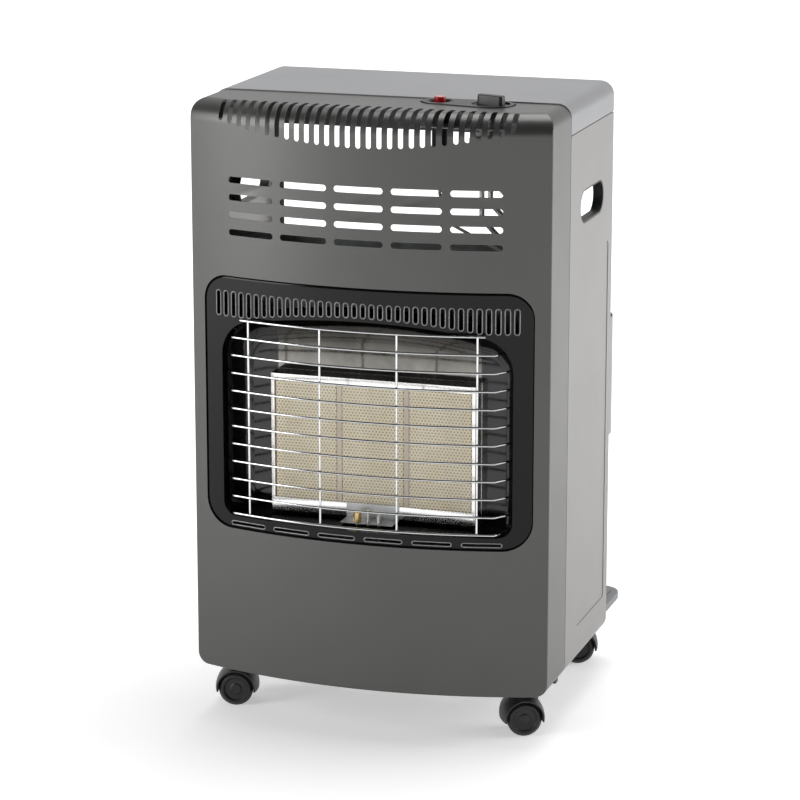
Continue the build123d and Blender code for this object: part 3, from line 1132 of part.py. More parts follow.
# ---------------------------------------------------------------- heat shield
shield_low = SHELF_TOP + SEAT_GAP
shield_front_y = SHIELD_Y - SHIELD_SHEET
shield_flange_y = CASING_FRONT_Y - SEAT_GAP
with BuildPart() as heat_shield:
    with BuildSketch(Plane.XY.offset(shield_low)):
        with BuildLine():
            Polyline(
                (-SHIELD_FLANGE_HALF, shield_flange_y), (-SHIELD_HALF, shield_flange_y),
                (-SHIELD_HALF, SHIELD_Y), (SHIELD_HALF, SHIELD_Y),
                (SHIELD_HALF, shield_flange_y), (SHIELD_FLANGE_HALF, shield_flange_y),
            )
            offset(amount=SHIELD_SHEET, side=Side.RIGHT)
        make_face()
    extrude(amount=SHIELD_TOP - shield_low)
    # hem along the top, foot along the bottom
    with BuildSketch(Plane.XY.offset(SHIELD_TOP - SHIELD_SHEET)):
        with Locations((0, shield_front_y - SHIELD_HEM / 2 + SHIELD_SHEET / 2)):
            Rectangle(2 * SHIELD_HALF, SHIELD_HEM + SHIELD_SHEET)
    extrude(amount=SHIELD_SHEET)
    with BuildSketch(Plane.XY.offset(shield_low)):
        with Locations((0, shield_front_y - SHIELD_FOOT / 2 + SHIELD_SHEET / 2)):
            Rectangle(2 * SHIELD_HALF, SHIELD_FOOT + SHIELD_SHEET)
    extrude(amount=SHIELD_SHEET)
    # deflector over the burner, sloping down to the front
    deflector_y = APEX_Y + DEFLECTOR_DEPTH
    with BuildSketch(Plane.YZ.offset(-DEFLECTOR_HALF)):
        with BuildLine():
            Polyline(
                (SHIELD_Y - SHIELD_SHEET / 2, DEFLECTOR_HIGH), (deflector_y, DEFLECTOR_LOW),
                (deflector_y, DEFLECTOR_LOW + SHIELD_SHEET),
                (SHIELD_Y - SHIELD_SHEET / 2, DEFLECTOR_HIGH + SHIELD_SHEET), close=True,
            )
        make_face()
    extrude(amount=2 * DEFLECTOR_HALF)
    with BuildSketch(at_y(shield_flange_y - 3 * SHIELD_SHEET)):
        with Locations(*[(sign * SHIELD_SCREW_X, z) for sign in (-1, 1) for z in SHIELD_SCREW_Z]):
            Circle(SCREW_RADIUS + FREE)
    extrude(amount=4 * SHIELD_SHEET, dir=(0, 1, 0), mode=Mode.SUBTRACT)
write(heat_shield.part, "heat_shield")

# ================================================================ pilot burner
bracket_wall_y = rail_y - SEAT_GAP
pilot_top = PILOT_BRACKET_Z + PILOT_BRACKET_SHEET
pilot_bracket_width = PILOT_BRACKET_X[1] - PILOT_BRACKET_X[0]
pilot_bracket_front_y = APEX_Y + PILOT_BRACKET_FRONT
with BuildPart() as pilot_bracket:
    with BuildSketch(Plane.YZ.offset(PILOT_BRACKET_X[0])):
        with BuildLine():
            Polyline(
                (pilot_bracket_front_y, PILOT_BRACKET_Z), (bracket_wall_y, PILOT_BRACKET_Z),
                (bracket_wall_y, PILOT_BRACKET_HIGH),
                (bracket_wall_y - PILOT_BRACKET_SHEET, PILOT_BRACKET_HIGH),
                (bracket_wall_y - PILOT_BRACKET_SHEET, pilot_top),
                (pilot_bracket_front_y, pilot_top), close=True,
            )
        make_face()
    extrude(amount=pilot_bracket_width)
    with BuildSketch(Plane.XY.offset(PILOT_BRACKET_Z - SHEET)):
        for hole_x, passing in (
            (PILOT_X, PILOT_PIPE_RADIUS),
            (THERMOCOUPLE_X, THERMOCOUPLE_RADIUS),
            (ELECTRODE_X, ELECTRODE_RADIUS),
        ):
            with Locations((hole_x, PILOT_Y)):
                Circle(passing + FREE)
    extrude(amount=PILOT_BRACKET_SHEET + 2 * SHEET, mode=Mode.SUBTRACT)
write(pilot_bracket.part, "pilot_bracket")

with BuildPart() as pilot_burner:
    with BuildSketch(Plane.XY.offset(pilot_top + SEAT_GAP)):
        with Locations((PILOT_X, PILOT_Y)):
            Circle(PILOT_BURNER_RADIUS)
    extrude(amount=PILOT_BURNER_TOP - pilot_top - SEAT_GAP)
    # flame ports towards the plaques and towards the thermocouple
    with BuildSketch(at_y(PILOT_Y)):
        with Locations((PILOT_X, PILOT_BURNER_TOP - PILOT_BURNER_RADIUS)):
            Circle(PILOT_BURNER_RADIUS / 3)
    extrude(amount=2 * PILOT_BURNER_RADIUS, dir=(0, 1, 0), mode=Mode.SUBTRACT)
    with BuildSketch(Plane.XY.offset(pilot_top + 2 * SEAT_GAP + SHEET)):
        with Locations((PILOT_X, PILOT_Y)):
            Circle(PILOT_BURNER_RADIUS / 3)
    extrude(amount=PILOT_BURNER_TOP - pilot_top, mode=Mode.SUBTRACT)
write(pilot_burner.part, "pilot_burner")

wire_top = ELECTRODE_TOP + ELECTRODE_WIRE_RISE
electrode_wire = pipe(
    [(ELECTRODE_X, PILOT_Y, ELECTRODE_TOP - 1), (ELECTRODE_X, PILOT_Y, wire_top),
     (ELECTRODE_X - ELECTRODE_WIRE_REACH, PILOT_Y, wire_top + ELECTRODE_WIRE_RISE)],
    [2 * ELECTRODE_WIRE], ELECTRODE_WIRE,
)
with BuildPart() as spark_electrode:
    with BuildSketch(Plane.XY.offset(PILOT_BRACKET_Z - SHEET + SEAT_GAP)):
        with Locations((ELECTRODE_X, PILOT_Y)):
            Circle(ELECTRODE_RADIUS)
    extrude(amount=ELECTRODE_TOP - PILOT_BRACKET_Z + SHEET - SEAT_GAP)
    add(electrode_wire)
write(spark_electrode.part, "spark_electrode")

# ================================================================ controls
pad_underside = HEIGHT - PAD_SHEET
bracket_underside_z = HEIGHT - BRACKET_DROP
bracket_top_z = bracket_underside_z + BRACKET_SHEET
web_back_y = PANEL_REAR_Y + SEAT_GAP
web_front_y = web_back_y - BRACKET_SHEET
with BuildPart() as control_plate:
    with BuildSketch(Plane.XY.offset(HEIGHT - PAD_SKIRT)):
        add(control_outline(0, PANEL_REAR_Y))
    extrude(amount=PAD_SKIRT)
    with BuildSketch(Plane.XY.offset(HEIGHT - PAD_SKIRT)):
        add(control_outline(-PAD_SHEET, SEAM_Y))
    extrude(amount=PAD_SKIRT - PAD_SHEET, mode=Mode.SUBTRACT)
    with BuildSketch(Plane.XY.offset(HEIGHT - PAD_SKIRT)):
        with Locations((KNOB_X, KNOB_Y)):
            Circle(KNOB_RADIUS + KNOB_HOLE_GAP)
        with Locations((BUTTON_X, BUTTON_Y)):
            Circle(CUP_RADIUS + SEAT_GAP)
    extrude(amount=2 * PAD_SKIRT, mode=Mode.SUBTRACT)
write(control_plate.part, "control_plate")

with BuildPart() as valve_bracket:
    bracket_front_y = APEX_Y + BRACKET_FRONT
    with BuildSketch(Plane.XY.offset(bracket_underside_z)):
        with Locations((sum(BRACKET_X) / 2, (bracket_front_y + web_back_y) / 2)):
            Rectangle(BRACKET_X[1] - BRACKET_X[0], web_back_y - bracket_front_y)
    extrude(amount=BRACKET_SHEET)
    with BuildSketch(at_y(web_front_y)):
        with Locations((sum(BRACKET_WEB_X) / 2, (bracket_underside_z + pad_underside - SEAT_GAP) / 2)):
            Rectangle(BRACKET_WEB_X[1] - BRACKET_WEB_X[0], pad_underside - SEAT_GAP - bracket_underside_z)
    extrude(amount=BRACKET_SHEET, dir=(0, 1, 0))
    with BuildSketch(Plane.XY.offset(bracket_underside_z - SHEET)):
        with Locations((KNOB_X, KNOB_Y)):
            Circle(VALVE_SPIGOT_RADIUS + FREE)
        with Locations((BUTTON_X, BUTTON_Y)):
            Circle(IGNITER_RADIUS + FREE)
    extrude(amount=BRACKET_SHEET + 2 * SHEET, mode=Mode.SUBTRACT)
write(valve_bracket.part, "valve_bracket")

with BuildPart() as gas_valve:
    valve_middle_y = APEX_Y + (VALVE_FRONT + VALVE_BACK) / 2
    with BuildSketch(Plane.XY.offset(VALVE_LOW)):
        with Locations((KNOB_X, valve_middle_y)):
            RectangleRounded(2 * VALVE_HALF_X, VALVE_BACK - VALVE_FRONT, VALVE_CORNER)
    extrude(amount=VALVE_HIGH - VALVE_LOW)
    chamfer(gas_valve.faces().sort_by(Axis.Z)[-1].edges(), VALVE_CHAMFER)
    with BuildSketch(Plane.XY.offset(VALVE_HIGH)):
        with Locations((KNOB_X, KNOB_Y)):
            Circle(VALVE_NECK_RADIUS)
    extrude(amount=bracket_underside_z - SEAT_GAP - VALVE_HIGH)
    with BuildSketch(Plane.XY.offset(bracket_underside_z - 1)):
        with Locations((KNOB_X, KNOB_Y)):
            Circle(VALVE_SPIGOT_RADIUS)
    extrude(amount=VALVE_SPIGOT_TOP - bracket_underside_z + 1)
    # rotor chamber, spindle bore and outlet to the pipes
    with BuildSketch(Plane.XY.offset(ROTOR_LOW)):
        with Locations((KNOB_X, KNOB_Y)):
            Circle(ROTOR_RADIUS + FIT)
    extrude(amount=ROTOR_HIGH - ROTOR_LOW, mode=Mode.SUBTRACT)
    with BuildSketch(Plane.XY.offset(ROTOR_HIGH - 1)):
        with Locations((KNOB_X, KNOB_Y)):
            Circle(SPINDLE_RADIUS + FIT)
    extrude(amount=VALVE_SPIGOT_TOP - ROTOR_HIGH + 2, mode=Mode.SUBTRACT)
write(gas_valve.part, "gas_valve")

spindle_low = ROTOR_HIGH - SPINDLE_SINK
with BuildPart() as valve_rotor:
    with BuildSketch(Plane.XY.offset(ROTOR_LOW + SEAT_GAP)):
        with Locations((KNOB_X, KNOB_Y)):
            Circle(ROTOR_RADIUS)
    extrude(amount=ROTOR_HIGH - ROTOR_LOW - 2 * SEAT_GAP)
    with BuildSketch(Plane.XY.offset(spindle_low - KNOB_TRAVEL - SEAT_GAP)):
        with Locations((KNOB_X, KNOB_Y)):
            Circle(SPINDLE_RADIUS + FIT)
    extrude(amount=ROTOR_HIGH - spindle_low + KNOB_TRAVEL, mode=Mode.SUBTRACT)
write(valve_rotor.part, "valve_rotor")

knob_disc_top = HEIGHT - KNOB_DISC_SINK
knob_disc_low = knob_disc_top - KNOB_DISC
knob_boss_low = knob_disc_low - KNOB_BOSS
with BuildPart() as valve_spindle:
    with BuildSketch(Plane.XY.offset(spindle_low)):
        with Locations((KNOB_X, KNOB_Y)):
            Circle(SPINDLE_RADIUS)
    extrude(amount=knob_disc_low - spindle_low)
    chamfer(valve_spindle.faces().filter_by(Axis.Z).edges(), SPINDLE_RADIUS / 8)
write(valve_spindle.part, "valve_spindle")

with BuildPart() as control_knob:
    with BuildSketch(Plane.XY.offset(knob_disc_low)):
        with Locations((KNOB_X, KNOB_Y)):
            Circle(KNOB_RADIUS)
    extrude(amount=KNOB_DISC)
    chamfer(control_knob.faces().sort_by(Axis.Z)[-1].edges(), KNOB_DISC_CHAMFER)
    with BuildSketch(Plane.XY.offset(knob_disc_top - SHEET)):
        with Locations(Location((KNOB_X, KNOB_Y), KNOB_BAR_ANGLE)):
            RectangleRounded(KNOB_BAR_LENGTH, KNOB_BAR_WIDTH, KNOB_BAR_CORNER)
    extrude(amount=KNOB_RISE + KNOB_DISC_SINK + SHEET, taper=KNOB_BAR_TAPER)
    fillet(control_knob.faces().sort_by(Axis.Z)[-1].edges(), KNOB_ROUNDING)
    with BuildSketch(Plane.XY.offset(knob_boss_low)):
        with Locations((KNOB_X, KNOB_Y)):
            Circle(KNOB_BOSS_RADIUS)
    extrude(amount=KNOB_BOSS + 1)
    with BuildSketch(Plane.XY.offset(knob_boss_low)):
        with Locations((KNOB_X, KNOB_Y)):
            Circle(SPINDLE_RADIUS + FIT)
    extrude(amount=KNOB_BOSS + SEAT_GAP, mode=Mode.SUBTRACT)
write(control_knob.part, "control_knob")

knob_coil = coil(KNOB_X, KNOB_Y, bracket_top_z + SEAT_GAP, knob_disc_low - SEAT_GAP, KNOB_SPRING_RADIUS)
with BuildPart() as knob_spring:
    add(knob_coil)
write(knob_spring.part, "knob_spring")

with BuildPart() as hose_nozzle:
    boss_y = APEX_Y + NOZZLE_DEPTH
    tip_y = APEX_Y + NOZZLE_TIP_DEPTH
    with BuildSketch(Plane.XY.offset(NOZZLE_BOSS_LOW)):
        with Locations((NOZZLE_X, boss_y)):
            Circle(NOZZLE_BOSS_RADIUS)
    extrude(amount=VALVE_LOW - SEAT_GAP - NOZZLE_BOSS_LOW)
    with BuildSketch(at_y(tip_y)):
        with Locations((NOZZLE_X, NOZZLE_Z)):
            Circle(NOZZLE_CORE_RADIUS)
    extrude(amount=tip_y - boss_y)
    with BuildSketch(at_y(tip_y)):
        with Locations((NOZZLE_X, NOZZLE_Z)):
            Circle(NOZZLE_RADIUS)
    extrude(amount=NOZZLE_TIP_LENGTH)
    for barb in range(NOZZLE_BARBS):
        with BuildSketch(at_y(tip_y - NOZZLE_TIP_LENGTH - BARB_PITCH * barb)):
            with Locations((NOZZLE_X, NOZZLE_Z)):
                Circle(BARB_RADIUS)
        extrude(amount=BARB_LENGTH, taper=-BARB_TAPER)
    with BuildSketch(at_y(APEX_Y + NUT_DEPTH + NUT_LENGTH)):
        with Locations((NOZZLE_X, NOZZLE_Z)):
            RegularPolygon(radius=NUT_RADIUS, side_count=6)
    extrude(amount=NUT_LENGTH)
    with BuildSketch(at_y(tip_y)):
        with Locations((NOZZLE_X, NOZZLE_Z)):
            Circle(NOZZLE_BORE)
    extrude(amount=tip_y - boss_y, mode=Mode.SUBTRACT)
    with BuildSketch(Plane.XY.offset(NOZZLE_Z)):
        with Locations((NOZZLE_X, boss_y)):
            Circle(NOZZLE_BORE)
    extrude(amount=VALVE_LOW - NOZZLE_Z, mode=Mode.SUBTRACT)
write(hose_nozzle.part, "hose_nozzle")

# ---------------------------------------------------------------- igniter
cup_top = HEIGHT - CUP_SINK
cup_floor_z = cup_top - CUP_DEPTH
barrel_top = cup_floor_z - CUP_FLOOR
barrel_low = barrel_top - IGNITER_LENGTH
button_top = HEIGHT + BUTTON_RISE
button_low = button_top - BUTTON_LENGTH
plunger_low = button_low - PLUNGER_LENGTH
spring_low = barrel_low + BARREL_FLOOR
with BuildPart() as igniter_body:
    for radius, low, high in (
        (IGNITER_RADIUS, barrel_low, cup_floor_z), (CUP_RADIUS, barrel_top, cup_top)
    ):
        with BuildSketch(Plane.XY.offset(low)):
            with Locations((BUTTON_X, BUTTON_Y)):
                Circle(radius)
        extrude(amount=high - low)
    # cup, button bore and plunger bore
    for radius, low, high in (
        (CUP_INNER_RADIUS, cup_floor_z, HEIGHT),
        (BUTTON_RADIUS + FIT, button_low - BUTTON_TRAVEL - SEAT_GAP, HEIGHT),
        (PLUNGER_RADIUS + FIT, spring_low, HEIGHT),
    ):
        with BuildSketch(Plane.XY.offset(low)):
            with Locations((BUTTON_X, BUTTON_Y)):
                Circle(radius)
        extrude(amount=high - low, mode=Mode.SUBTRACT)
write(igniter_body.part, "igniter_body")

with BuildPart() as igniter_button:
    with BuildSketch(Plane.XY.offset(plunger_low)):
        with Locations((BUTTON_X, BUTTON_Y)):
            Circle(PLUNGER_RADIUS)
    extrude(amount=PLUNGER_LENGTH)
    with BuildSketch(Plane.XY.offset(button_low)):
        with Locations((BUTTON_X, BUTTON_Y)):
            Circle(BUTTON_RADIUS)
    extrude(amount=BUTTON_LENGTH)
    fillet(igniter_button.faces().sort_by(Axis.Z)[-1].edges(), BUTTON_ROUNDING)
write(igniter_button.part, "igniter_button")

button_coil = coil(BUTTON_X, BUTTON_Y, spring_low + SEAT_GAP, plunger_low - SEAT_GAP,
                   PLUNGER_RADIUS - SPRING_WIRE - SEAT_GAP)
with BuildPart() as igniter_spring:
    add(button_coil)
write(igniter_spring.part, "igniter_spring")

# ================================================================ castors
cavity_radius = WHEEL_RADIUS + HOOD_CAVITY
for name, (swivel_x, swivel_depth, heading) in CASTORS.items():
    axle_dir = Vector(0, 1, 0).rotate(Axis.Z, heading)
    roll_dir = Vector(1, 0, 0).rotate(Axis.Z, heading)
    swivel = Vector(swivel_x, APEX_Y + swivel_depth, 0)
    centre = swivel - roll_dir * CASTOR_TRAIL + Vector(0, 0, WHEEL_RADIUS)
    axle = Axis(centre, axle_dir)
    with BuildPart() as castor_hood:
        with BuildSketch(Plane(origin=centre, x_dir=axle_dir, z_dir=roll_dir)):
            with BuildLine():
                crown = ThreePointArc((-HOOD_HALF, HOOD_RIM_RADIUS), (0, HOOD_CROWN_RADIUS),
                                      (HOOD_HALF, HOOD_RIM_RADIUS))
                Polyline(crown @ 1, (HOOD_HALF, 0), (-HOOD_HALF, 0), crown @ 0)
            make_face()
        revolve(axis=axle, revolution_arc=360)
        with BuildSketch(Plane.XY.offset(WHEEL_RADIUS)):
            with Locations((swivel.X, swivel.Y)):
                Circle(HOOD_BOSS_RADIUS)
        extrude(amount=HOOD_BOSS_TOP - WHEEL_RADIUS)
        # a cavity for each wheel, open at the outside and below
        for sign in (-1, 1):
            with BuildSketch(Plane(centre + axle_dir * (sign * WEB_HALF), z_dir=axle_dir * sign)):
                Circle(cavity_radius)
            extrude(amount=HOOD_HALF, mode=Mode.SUBTRACT)
        with BuildSketch(Plane.XY.offset(HOOD_SKIRT_Z)):
            with Locations((centre.X, centre.Y)):
                Rectangle(4 * HOOD_CROWN_RADIUS, 4 * HOOD_CROWN_RADIUS)
        extrude(amount=-HOOD_CROWN_RADIUS, mode=Mode.SUBTRACT)
        # bores for stem and axle
        with BuildSketch(Plane.XY.offset(STEM_LOW - SEAT_GAP)):
            with Locations((swivel.X, swivel.Y)):
                Circle(STEM_RADIUS + FIT)
        extrude(amount=HOOD_BOSS_TOP - STEM_LOW + SEAT_GAP, mode=Mode.SUBTRACT)
        with BuildSketch(Plane(centre - axle_dir * (2 * WEB_HALF), z_dir=axle_dir)):
            Circle(AXLE_RADIUS + FIT)
        extrude(amount=4 * WEB_HALF, mode=Mode.SUBTRACT)
    write(castor_hood.part, f"castor_hood_{name}")

    with BuildPart() as castor_pins:
        with BuildSketch(Plane.XY.offset(STEM_LOW)):
            with Locations((swivel.X, swivel.Y)):
                Circle(STEM_RADIUS)
        extrude(amount=STEM_TOP - STEM_LOW)
        with BuildSketch(Plane(centre - axle_dir * AXLE_HALF, z_dir=axle_dir)):
            Circle(AXLE_RADIUS)
        extrude(amount=2 * AXLE_HALF)
    write(castor_pins.part, f"castor_pins_{name}")

    for letter, sign in (("a", -1), ("b", 1)):
        with BuildPart() as castor_wheel:
            inside = WEB_HALF + WHEEL_CLEARANCE
            outside = inside + WHEEL_WIDTH
            bore_end = AXLE_HALF + WHEEL_CLEARANCE
            bore = AXLE_RADIUS + FIT
            with BuildSketch(Plane(origin=centre, x_dir=axle_dir * sign, z_dir=roll_dir * sign)):
                with BuildLine():
                    Polyline(
                        (inside, bore),
                        (inside, WHEEL_RADIUS - WHEEL_EDGE),
                        (inside + WHEEL_EDGE, WHEEL_RADIUS),
                        (outside - 2 * WHEEL_EDGE, WHEEL_RADIUS),
                        (outside, WHEEL_RADIUS - 2 * WHEEL_EDGE),
                        (outside, WHEEL_RADIUS - 3.5 * WHEEL_EDGE),
                        (outside - HUB_DISH, WHEEL_RADIUS - 4.5 * WHEEL_EDGE),
                        (outside - HUB_DISH, HUB_RADIUS),
                        (outside - HUB_DISH / 2, 0.8 * HUB_RADIUS),
                        (outside - HUB_DISH / 2, 0),
                        (bore_end, 0),
                        (bore_end, bore),
                        close=True,
                    )
                make_face()
            revolve(axis=axle, revolution_arc=360)
        write(castor_wheel.part, f"castor_wheel_{name}_{letter}")
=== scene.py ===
"""Looks of the portable gas cabinet heater: materials, fine detail, light and camera."""
import math

import bmesh
import bpy
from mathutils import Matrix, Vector


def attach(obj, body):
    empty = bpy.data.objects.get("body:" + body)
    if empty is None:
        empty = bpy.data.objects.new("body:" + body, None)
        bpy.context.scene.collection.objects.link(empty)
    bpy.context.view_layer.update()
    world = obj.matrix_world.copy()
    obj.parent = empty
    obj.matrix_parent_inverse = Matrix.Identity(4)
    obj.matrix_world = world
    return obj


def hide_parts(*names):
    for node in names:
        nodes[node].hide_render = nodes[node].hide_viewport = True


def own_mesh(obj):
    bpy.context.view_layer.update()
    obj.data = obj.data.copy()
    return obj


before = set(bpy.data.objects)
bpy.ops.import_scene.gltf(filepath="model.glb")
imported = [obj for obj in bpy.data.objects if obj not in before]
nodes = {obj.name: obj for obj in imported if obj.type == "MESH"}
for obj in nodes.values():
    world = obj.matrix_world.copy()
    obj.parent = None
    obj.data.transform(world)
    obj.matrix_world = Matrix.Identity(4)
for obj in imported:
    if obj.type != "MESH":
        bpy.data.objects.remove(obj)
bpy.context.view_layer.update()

# ---------------------------------------------------------------- numbers
# metres and radians, unless a name says otherwise
CAMERA_PLACE = (1.10852, -3.50885, 1.25441)
CAMERA_YAW = 0.31
CAMERA_PITCH = 0.24
CAMERA_FAR = 100.0
FOCAL_PIXELS = 3238.0
PHOTO_WIDTH = 800.0              # pixels
SENSOR_MM = 36.0
FLOOR_HALF = 30.0
GLOW_NEAR = 0.5                  # the floor shines more from here outwards
GLOW_FAR = 2.5
GLOW_LOW = 0.42
COAT_ROUGHNESS = 0.1
PLAQUE_HOLE_PITCH_X = 0.0040
PLAQUE_HOLE_PITCH_Z = 0.0034
PLAQUE_HOLE_INNER = 0.20         # where the pit's painted shade, a dark middle, ends, in pitches
PLAQUE_HOLE_OUTER = 0.34
REFLECTOR_PAINTED_DARK = 0.122          # half the width of the reflector's bright middle; beyond it the side walls are painted black as a dark reflection
REFLECTOR_PAINTED_DARK_FADE = 0.002
REFLECTOR_DARK_TOP_LOW = 0.405       # the sheet is painted darker above the plaques, a painted dark reflection
REFLECTOR_DARK_TOP_HIGH = 0.45
LIP_RADIUS = 0.00065
LIP_SIDES = 6
SURROUND_RADIUS = 0.59776        # of the bowed front face
BOW_CENTRE_Y = 0.39964
HEAT_SLOT_COUNT = 36
HEAT_SLOT_PITCH = 0.00998
HEAT_SLOT_WIDTH = 0.0058
HEAT_SLOT_TOP = 0.509
HEAT_SLOT_MARGIN = 0.004         # above the arch of the mouth
ARCH_PEAK = 0.4885
ARCH_HALF = 0.137
ARCH_RADIUS = 0.757
AIR_SLOT_COUNT = 6
AIR_SLOT_PITCH = 0.0553
AIR_SLOT_LENGTH = 0.044
AIR_SLOT_HEIGHT = 0.0044
AIR_SLOT_Z = 0.2396


# ---------------------------------------------------------------- node helpers
class Shader:
    """A material under construction: a principled shader and short calls for its inputs."""

    def __init__(self, name, color, roughness, metallic=0.0, coat=0.0,
                 specular=0.5, transmission=0.0, ior=1.5):
        self.material = bpy.data.materials.new(name)
        self.material.use_nodes = True
        tree = self.material.node_tree
        self.nodes, self.links = tree.nodes, tree.links
        self.shader = self.nodes["Principled BSDF"]
        values = {
            "Base Color": (*color, 1.0), "Roughness": roughness, "Metallic": metallic,
            "Coat Weight": coat, "Coat Roughness": COAT_ROUGHNESS, "IOR": ior,
            "Specular IOR Level": specular, "Transmission Weight": transmission,
        }
        for key, value in values.items():
            self.shader.inputs[key].default_value = value
        self.coords = self.nodes.new("ShaderNodeTexCoord").outputs["Object"]

    def node(self, kind, inputs=None, **settings):
        made = self.nodes.new(kind)
        for key, value in settings.items():
            setattr(made, key, value)
        for key, value in (inputs or {}).items():
            if isinstance(value, bpy.types.NodeSocket):
                self.links.new(value, made.inputs[key])
            else:
                made.inputs[key].default_value = value
        return made

    def math(self, operation, *values, clamp=False):
        made = self.node("ShaderNodeMath", dict(enumerate(values)), operation=operation, use_clamp=clamp)
        return made.outputs[0]

    def noise(self, scale, detail=2.0, roughness=0.5, stretch=(1.0, 1.0, 1.0), distortion=0.0):
        place = self.node("ShaderNodeMapping", {"Vector": self.coords, "Scale": stretch})
        made = self.node("ShaderNodeTexNoise", {"Vector": place.outputs[0], "Scale": scale,
                                                "Detail": detail, "Roughness": roughness,
                                                "Distortion": distortion})
        return made.outputs["Fac"]

    def ramp(self, value, stops):
        made = self.node("ShaderNodeValToRGB", {"Fac": value})
        for element, (place, color) in zip(made.color_ramp.elements, stops):
            element.position = place
            element.color = (*color, 1.0)
        return made.outputs["Color"]

    def spread(self, value, low, high, new_low, new_high):
        made = self.node("ShaderNodeMapRange", {"Value": value, "From Min": low, "From Max": high,
                                                "To Min": new_low, "To Max": new_high})
        return made.outputs["Result"]

    def mix(self, factor, first, second):
        """The second colour over the first by a factor's socket. Inputs 6 and 7 are the node's colours."""
        made = self.node("ShaderNodeMix", {0: factor}, data_type="RGBA")
        for index, value in ((6, first), (7, second)):
            if isinstance(value, bpy.types.NodeSocket):
                self.links.new(value, made.inputs[index])
            else:
                made.inputs[index].default_value = (*value, 1.0)
        return made.outputs[2]

    def color(self, socket):
        self.links.new(socket, self.shader.inputs["Base Color"])

    def roughness(self, socket):
        self.links.new(socket, self.shader.inputs["Roughness"])

    def bump(self, height, strength, distance):
        made = self.node("ShaderNodeBump", {"Height": height, "Strength": strength, "Distance": distance})
        self.links.new(made.outputs[0], self.shader.inputs["Normal"])

    def painted_edge_highlight(self, radius):
        """1 on sharp edges, 0 on flat faces, from how far the bevelled normal leans: the mask for a painted
        highlight along edges.
        """
        bevel = self.node("ShaderNodeBevel", {"Radius": radius}, samples=4)
        geometry = self.node("ShaderNodeNewGeometry")
        dot = self.node("ShaderNodeVectorMath", {0: bevel.outputs[0], 1: geometry.outputs["Normal"]},
                        operation="DOT_PRODUCT")
        return self.spread(dot.outputs["Value"], 0.99, 0.85, 0.0, 1.0)


def painted(name, color, roughness, flake=0.04, orange_peel=0.05, metallic=0.0, coat=0.0, specular=0.5):
    """Sprayed enamel: orange peel, a fine mottle of colour and gloss, and edges painted slightly lighter as a
    highlight.
    """
    made = Shader(name, color, roughness, metallic=metallic, coat=coat, specular=specular)
    mottle = made.noise(900.0, 3.0, 0.6)
    broad = made.noise(7.0, 3.0, 0.55)
    light = tuple(min(1.0, c * (1 + flake)) for c in color)
    dark = tuple(c * (1 - flake) for c in color)
    grain = made.ramp(mottle, ((0.35, dark), (0.65, light)))
    tone = made.mix(made.spread(broad, 0.3, 0.7, 0.0, 0.35), grain, tuple(c * 0.93 for c in color))
    # lighter colour along sharp edges: a painted highlight
    made.color(made.mix(made.math("MULTIPLY", made.painted_edge_highlight(0.0006), 0.35), tone,
                        tuple(min(1.0, c * 1.5 + 0.02) for c in color)))
    made.roughness(made.math("ADD", made.spread(mottle, 0.3, 0.7, roughness - 0.03, roughness + 0.03),
                             made.spread(broad, 0.3, 0.7, -0.015, 0.025)))
    ripple = made.math("MULTIPLY", made.noise(260.0, 2.0), 0.8)
    made.bump(made.math("ADD", mottle, ripple), orange_peel, 0.0004)
    return made.material


def bare_metal(name, color, roughness, streak=(1.0, 1.0, 30.0), streak_scale=60.0, scratch=0.06,
               stain=0.0, stain_color=(0.0, 0.0, 0.0)):
    """Rolled or drawn metal: fine streaks along one direction, smudges in the gloss, optional heat stain."""
    made = Shader(name, color, roughness, metallic=1.0)
    streaks = made.noise(streak_scale, 4.0, 0.65, stretch=streak)
    smudge = made.noise(22.0, 4.0, 0.6, distortion=0.4)
    light = tuple(min(1.0, c * 1.05) for c in color)
    dark = tuple(c * 0.86 for c in color)
    tone = made.ramp(streaks, ((0.3, dark), (0.7, light)))
    if stain:
        tone = made.mix(made.spread(smudge, 0.5, 0.75, 0.0, stain), tone, stain_color)
    made.color(tone)
    drawn = made.spread(streaks, 0.3, 0.7, roughness - scratch / 2, roughness + scratch)
    made.roughness(made.math("ADD", drawn, made.spread(smudge, 0.35, 0.75, 0.0, scratch), clamp=True))
    made.bump(made.math("MULTIPLY", streaks, 0.15), 0.12, 0.0006)
    return made.material


def moulded(name, color, roughness, texture=0.25, grain=1400.0, coat=0.0, specular=0.5):
    """Moulded plastic: spark-eroded grain, gloss that varies a little, and edges painted lighter as a
    highlight.
    """
    made = Shader(name, color, roughness, coat=coat, specular=specular)
    fine = made.noise(grain, 3.0, 0.6)
    broad = made.noise(30.0, 3.0)
    light = tuple(min(1.0, c * 1.1) for c in color)
    dark = tuple(c * 0.88 for c in color)
    tone = made.ramp(broad, ((0.3, dark), (0.7, light)))
    # lighter colour along sharp edges: a painted highlight
    made.color(made.mix(made.math("MULTIPLY", made.painted_edge_highlight(0.0005), 0.3), tone,
                        tuple(min(1.0, c * 1.8 + 0.02) for c in color)))
    made.roughness(made.spread(broad, 0.3, 0.7, roughness - 0.04, roughness + 0.05))
    made.bump(fine, texture, 0.0003)
    return made.material


